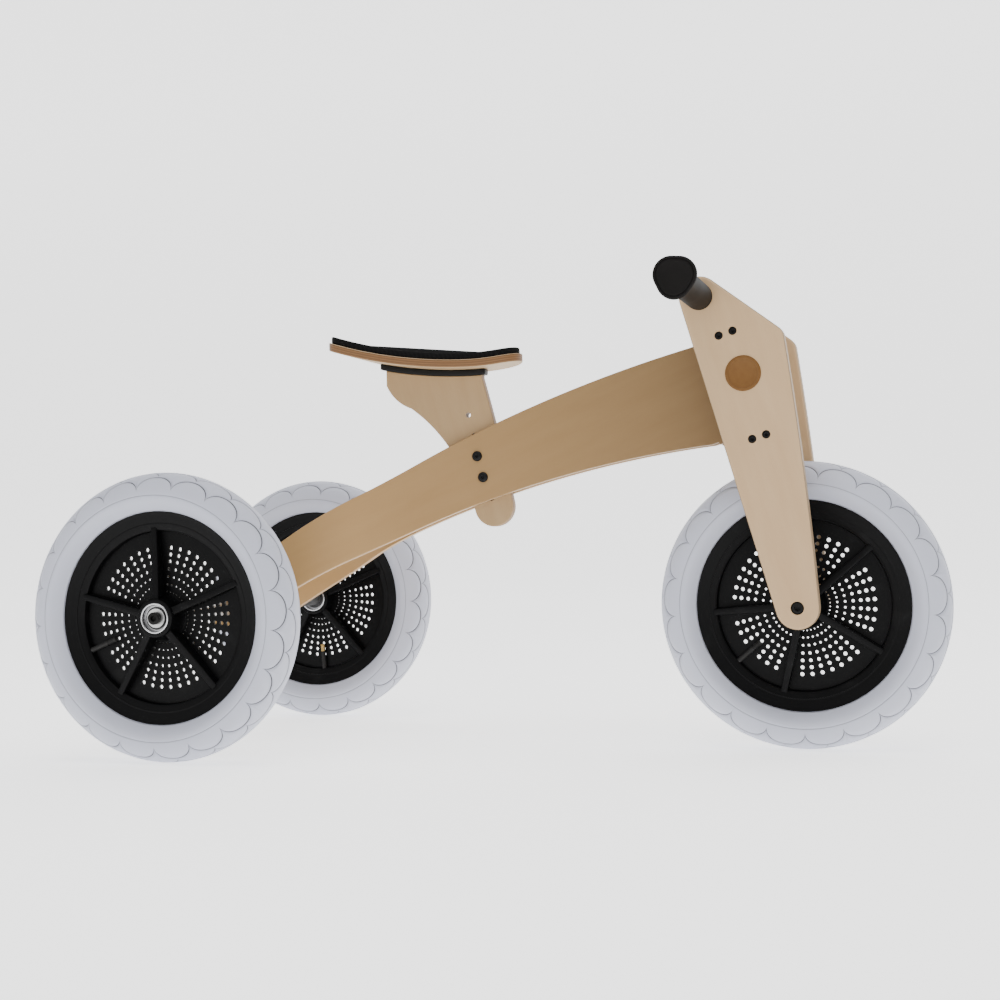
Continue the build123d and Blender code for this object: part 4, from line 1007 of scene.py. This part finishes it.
badge_low, badge_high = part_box("fork_badges")
ring = [(0.0, 0.0005), (0.0150, 0.0005), (0.0154, 0.0004), (0.0156, 0.0), (0.0174, 0.0), (0.0176, 0.0003),
        (0.0182, 0.0004), (0.0185, 0.0006), (0.0185, badge_high.y - PLATE_OUT)]
points, faces = lathe([(r, badge_high.y - depth) for r, depth in ring], 96)
centre = (badge_low + badge_high) / 2
both = joined(
    ([(centre.x + x, h, centre.z + z) for x, z, h in points], faces),
    ([(centre.x + x, -h, centre.z + z) for x, z, h in points], [f[::-1] for f in faces]),
)
soften(build("plate_discs", *both, badge_brown, "fork", "badge_brown", ["fork_badges"]), 40)


# ---------------------------------------------------------------- bolts
# Black furniture bolts with hexagon sockets, sunk in the fork plates, and round-headed
# bolts with cap nuts through the frame.

def socket_bolt(head_r, head_l, key_r, key_depth, round_r, shank_r, shank_l):
    """Bolt along +Z with its head's seat at zero."""
    count = 36
    key = []
    for i in range(count):
        a = tau * i / count
        key.append(key_r * cos(pi / 6) / cos((a + pi / 6) % (pi / 3) - pi / 6))
    turns = [pi / 2 * i / 4 for i in range(5)]
    outside = [(0.0001, -shank_l), (shank_r, -shank_l), (shank_r, 0), (head_r, 0)]
    outside += [(head_r - round_r * (1 - cos(a)), head_l - round_r * (1 - sin(a))) for a in turns]
    rings = [[place] * count for place in outside]
    rings += [[(r + 0.0002, head_l) for r in key], [(r, head_l - 0.0002) for r in key],
              [(r, head_l - key_depth) for r in key], [(0.0001, head_l - key_depth - 0.0006)] * count]
    ways = [(cos(tau * i / count), sin(tau * i / count)) for i in range(count)]
    solid = [[(r * c, r * s, h) for (c, s), (r, h) in zip(ways, ring)] for ring in rings]
    return loft(solid, closed_loft=False)


def stand(part, x, y, z, side):
    """Stands a part made along Z on a side face: its Z points outwards on that side."""
    return [(x + px, y + side * pz, z + py) for px, py, pz in part[0]], facing(part[1], side)


paint = Paint("black_oxide_steel", metallic=0.4, specular_ior_level=0.15)
film = paint.noise(700, 3)
black_steel = paint.even(film, (0.006, 0.006, 0.006), (0.014, 0.0135, 0.013), (0.30, 0.48), strength=0.25)

paint = Paint("zinc_plated_steel", metallic=1.0)
spangle = paint.noise(160, 4)
zinc_steel = paint.even(spangle, (0.46, 0.46, 0.46), (0.62, 0.62, 0.61), (0.26, 0.42))

fork_bolt = socket_bolt(0.00425, 0.005, 0.0022, 0.003, 0.0005, 0.003, 0.040)
seats = [(at_head(*p), side) for p in fork_bolt_places() for side in (-1, 1)]
FORK_SINK = 0.006
heads = joined(*[stand(fork_bolt, x, side * (PLATE_OUT - FORK_SINK), z, side) for (x, z), side in seats])
soften(build("fork_plate_bolts", *heads, black_steel, "fork", "black_steel", ["fork_bolts"]))

AXLE_HEAD_L = 0.006
axle_bolt = socket_bolt(0.0065, AXLE_HEAD_L, 0.0035, 0.004, 0.0010, 0.004, 0.018)
for end, body in (("front", "fork"), ("rear", "frame")):
    low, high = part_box(f"{end}_axle_bolts")
    middle, seat = (low + high) / 2, high.y - AXLE_HEAD_L
    pair = joined(*[stand(axle_bolt, middle.x, side * seat, middle.z, side) for side in (-1, 1)])
    soften(build(f"{end}_axle_bolt_pair", *pair, black_steel, body, "black_steel", [f"{end}_axle_bolts"]))

clamp_bolt = socket_bolt(0.00575, 0.003, 0.0022, 0.002, 0.0024, 0.0029, 0.0345)
clamps = [post_hole(i) for i in (1, 2)]
heads = joined(*[stand(clamp_bolt, x + REAR_AXLE.x, -ARM_OUT_Y, z, -1) for x, z in clamps])
soften(build("seat_clamp_bolt_pair", *heads, black_steel, "frame", "black_steel", ["seat_clamp_bolts"]))

head_bolt = socket_bolt(0.006, 0.003, 0.0022, 0.002, 0.0024, 0.003, 0.0345)
seats = [at_head(-0.028, up) for up in (-0.025, 0.025)]
heads = joined(*[stand(head_bolt, x, -ARM_OUT_Y, z, -1) for x, z in seats])
soften(build("head_bolt_pair", *heads, black_steel, "frame", "black_steel", ["head_bolts"]))

for node in ("head_nuts", "seat_clamp_nuts", "saddle_screws", "steering_bolt", "steering_nut"):
    dress(node, black_steel)
for node in ("fork_barrel_nuts", "steering_washers", "front_axle", "front_axle_spacers", "rear_axle",
             "rear_axle_spacers", "rear_axle_washers"):
    dress(node, zinc_steel)


# ---------------------------------------------------------------- inner tubes
# Butyl tubes inside the tyres, out of sight.

paint = Paint("butyl_tube")
dust = paint.noise(90, 3)
butyl = paint.even(dust, (0.012, 0.012, 0.012), (0.035, 0.035, 0.034), (0.55, 0.75), 0.0002, 0.3)
for name in WHEEL_OF:
    dress(f"{name}_inner_tube", butyl)


# ---------------------------------------------------------------- studio
# A white cove that glows a little, under a wide soft ceiling of light, with two gentler
# lights from the sides, so that the tricycle throws only soft shadows.

paint = Paint("white_cove", specular_ior_level=0.1, emission_color=(1, 1, 1, 1), emission_strength=1.35)
cloud = paint.noise(0.6, 2)
cove_white = paint.even(cloud, (0.86, 0.86, 0.86), (0.90, 0.90, 0.90), (0.85, 0.95), strength=0.02)
curve = [(-14.0, 0.0), (3.0, 0.0)]
curve += [(3.0 + 2.5 * sin(pi / 2 * i / 24), 2.5 - 2.5 * cos(pi / 2 * i / 24)) for i in range(1, 25)]
curve.append((5.5, 6.0))
sides = [[(x, y, z) for y, z in curve] for x in (-12.0, 12.0)]
points, faces = loft(sides, closed_rings=False, closed_loft=False)
mesh = bpy.data.meshes.new("cove")
mesh.from_pydata(points, [], faces)
mesh.polygons.foreach_set("use_smooth", [True] * len(mesh.polygons))
mesh.materials.append(cove_white)
cove = bpy.data.objects.new("cove", mesh)
bpy.context.scene.collection.objects.link(cove)

world = bpy.data.worlds.new("studio")
world.use_nodes = True
world.node_tree.nodes["Background"].inputs["Color"].default_value = (1.0, 1.0, 1.0, 1)
world.node_tree.nodes["Background"].inputs["Strength"].default_value = 0.75
bpy.context.scene.world = world

for name, spot, aim, size, power in (
    ("ceiling", (0.2, -0.3, 2.6), (0, 0, 0), 2.2, 52),
    ("camera_side", (-1.6, -2.8, 1.6), (0, 0, 0.25), 2.0, 6),
    ("far_side", (2.6, 1.2, 1.8), (0, 0, 0.25), 2.0, 8),
):
    light = bpy.data.lights.new(name, "AREA")
    light.shape, light.size, light.energy = "SQUARE", size, power
    lamp = bpy.data.objects.new(name, light)
    lamp.location = spot
    lamp.rotation_euler = (Vector(spot) - Vector(aim)).to_track_quat("Z", "Y").to_euler()
    bpy.context.scene.collection.objects.link(lamp)

yaw, pitch, roll = radians(16.75), radians(-0.97), radians(-1.07)
ahead = Vector((-sin(yaw) * cos(pitch), cos(yaw) * cos(pitch), -sin(pitch)))
level = Vector((cos(yaw), sin(yaw), 0))
over = level.cross(ahead)
right, over = level * cos(roll) + over * sin(roll), over * cos(roll) - level * sin(roll)
lens = bpy.data.cameras.new("camera")
lens.lens, lens.sensor_width = 55.56, 36
camera = bpy.data.objects.new("camera", lens)
camera.matrix_world = Matrix((right, over, -ahead)).transposed().to_4x4()
camera.location = (0.4876, -1.6615, 0.2418)
bpy.context.scene.collection.objects.link(camera)
bpy.context.scene.camera = camera
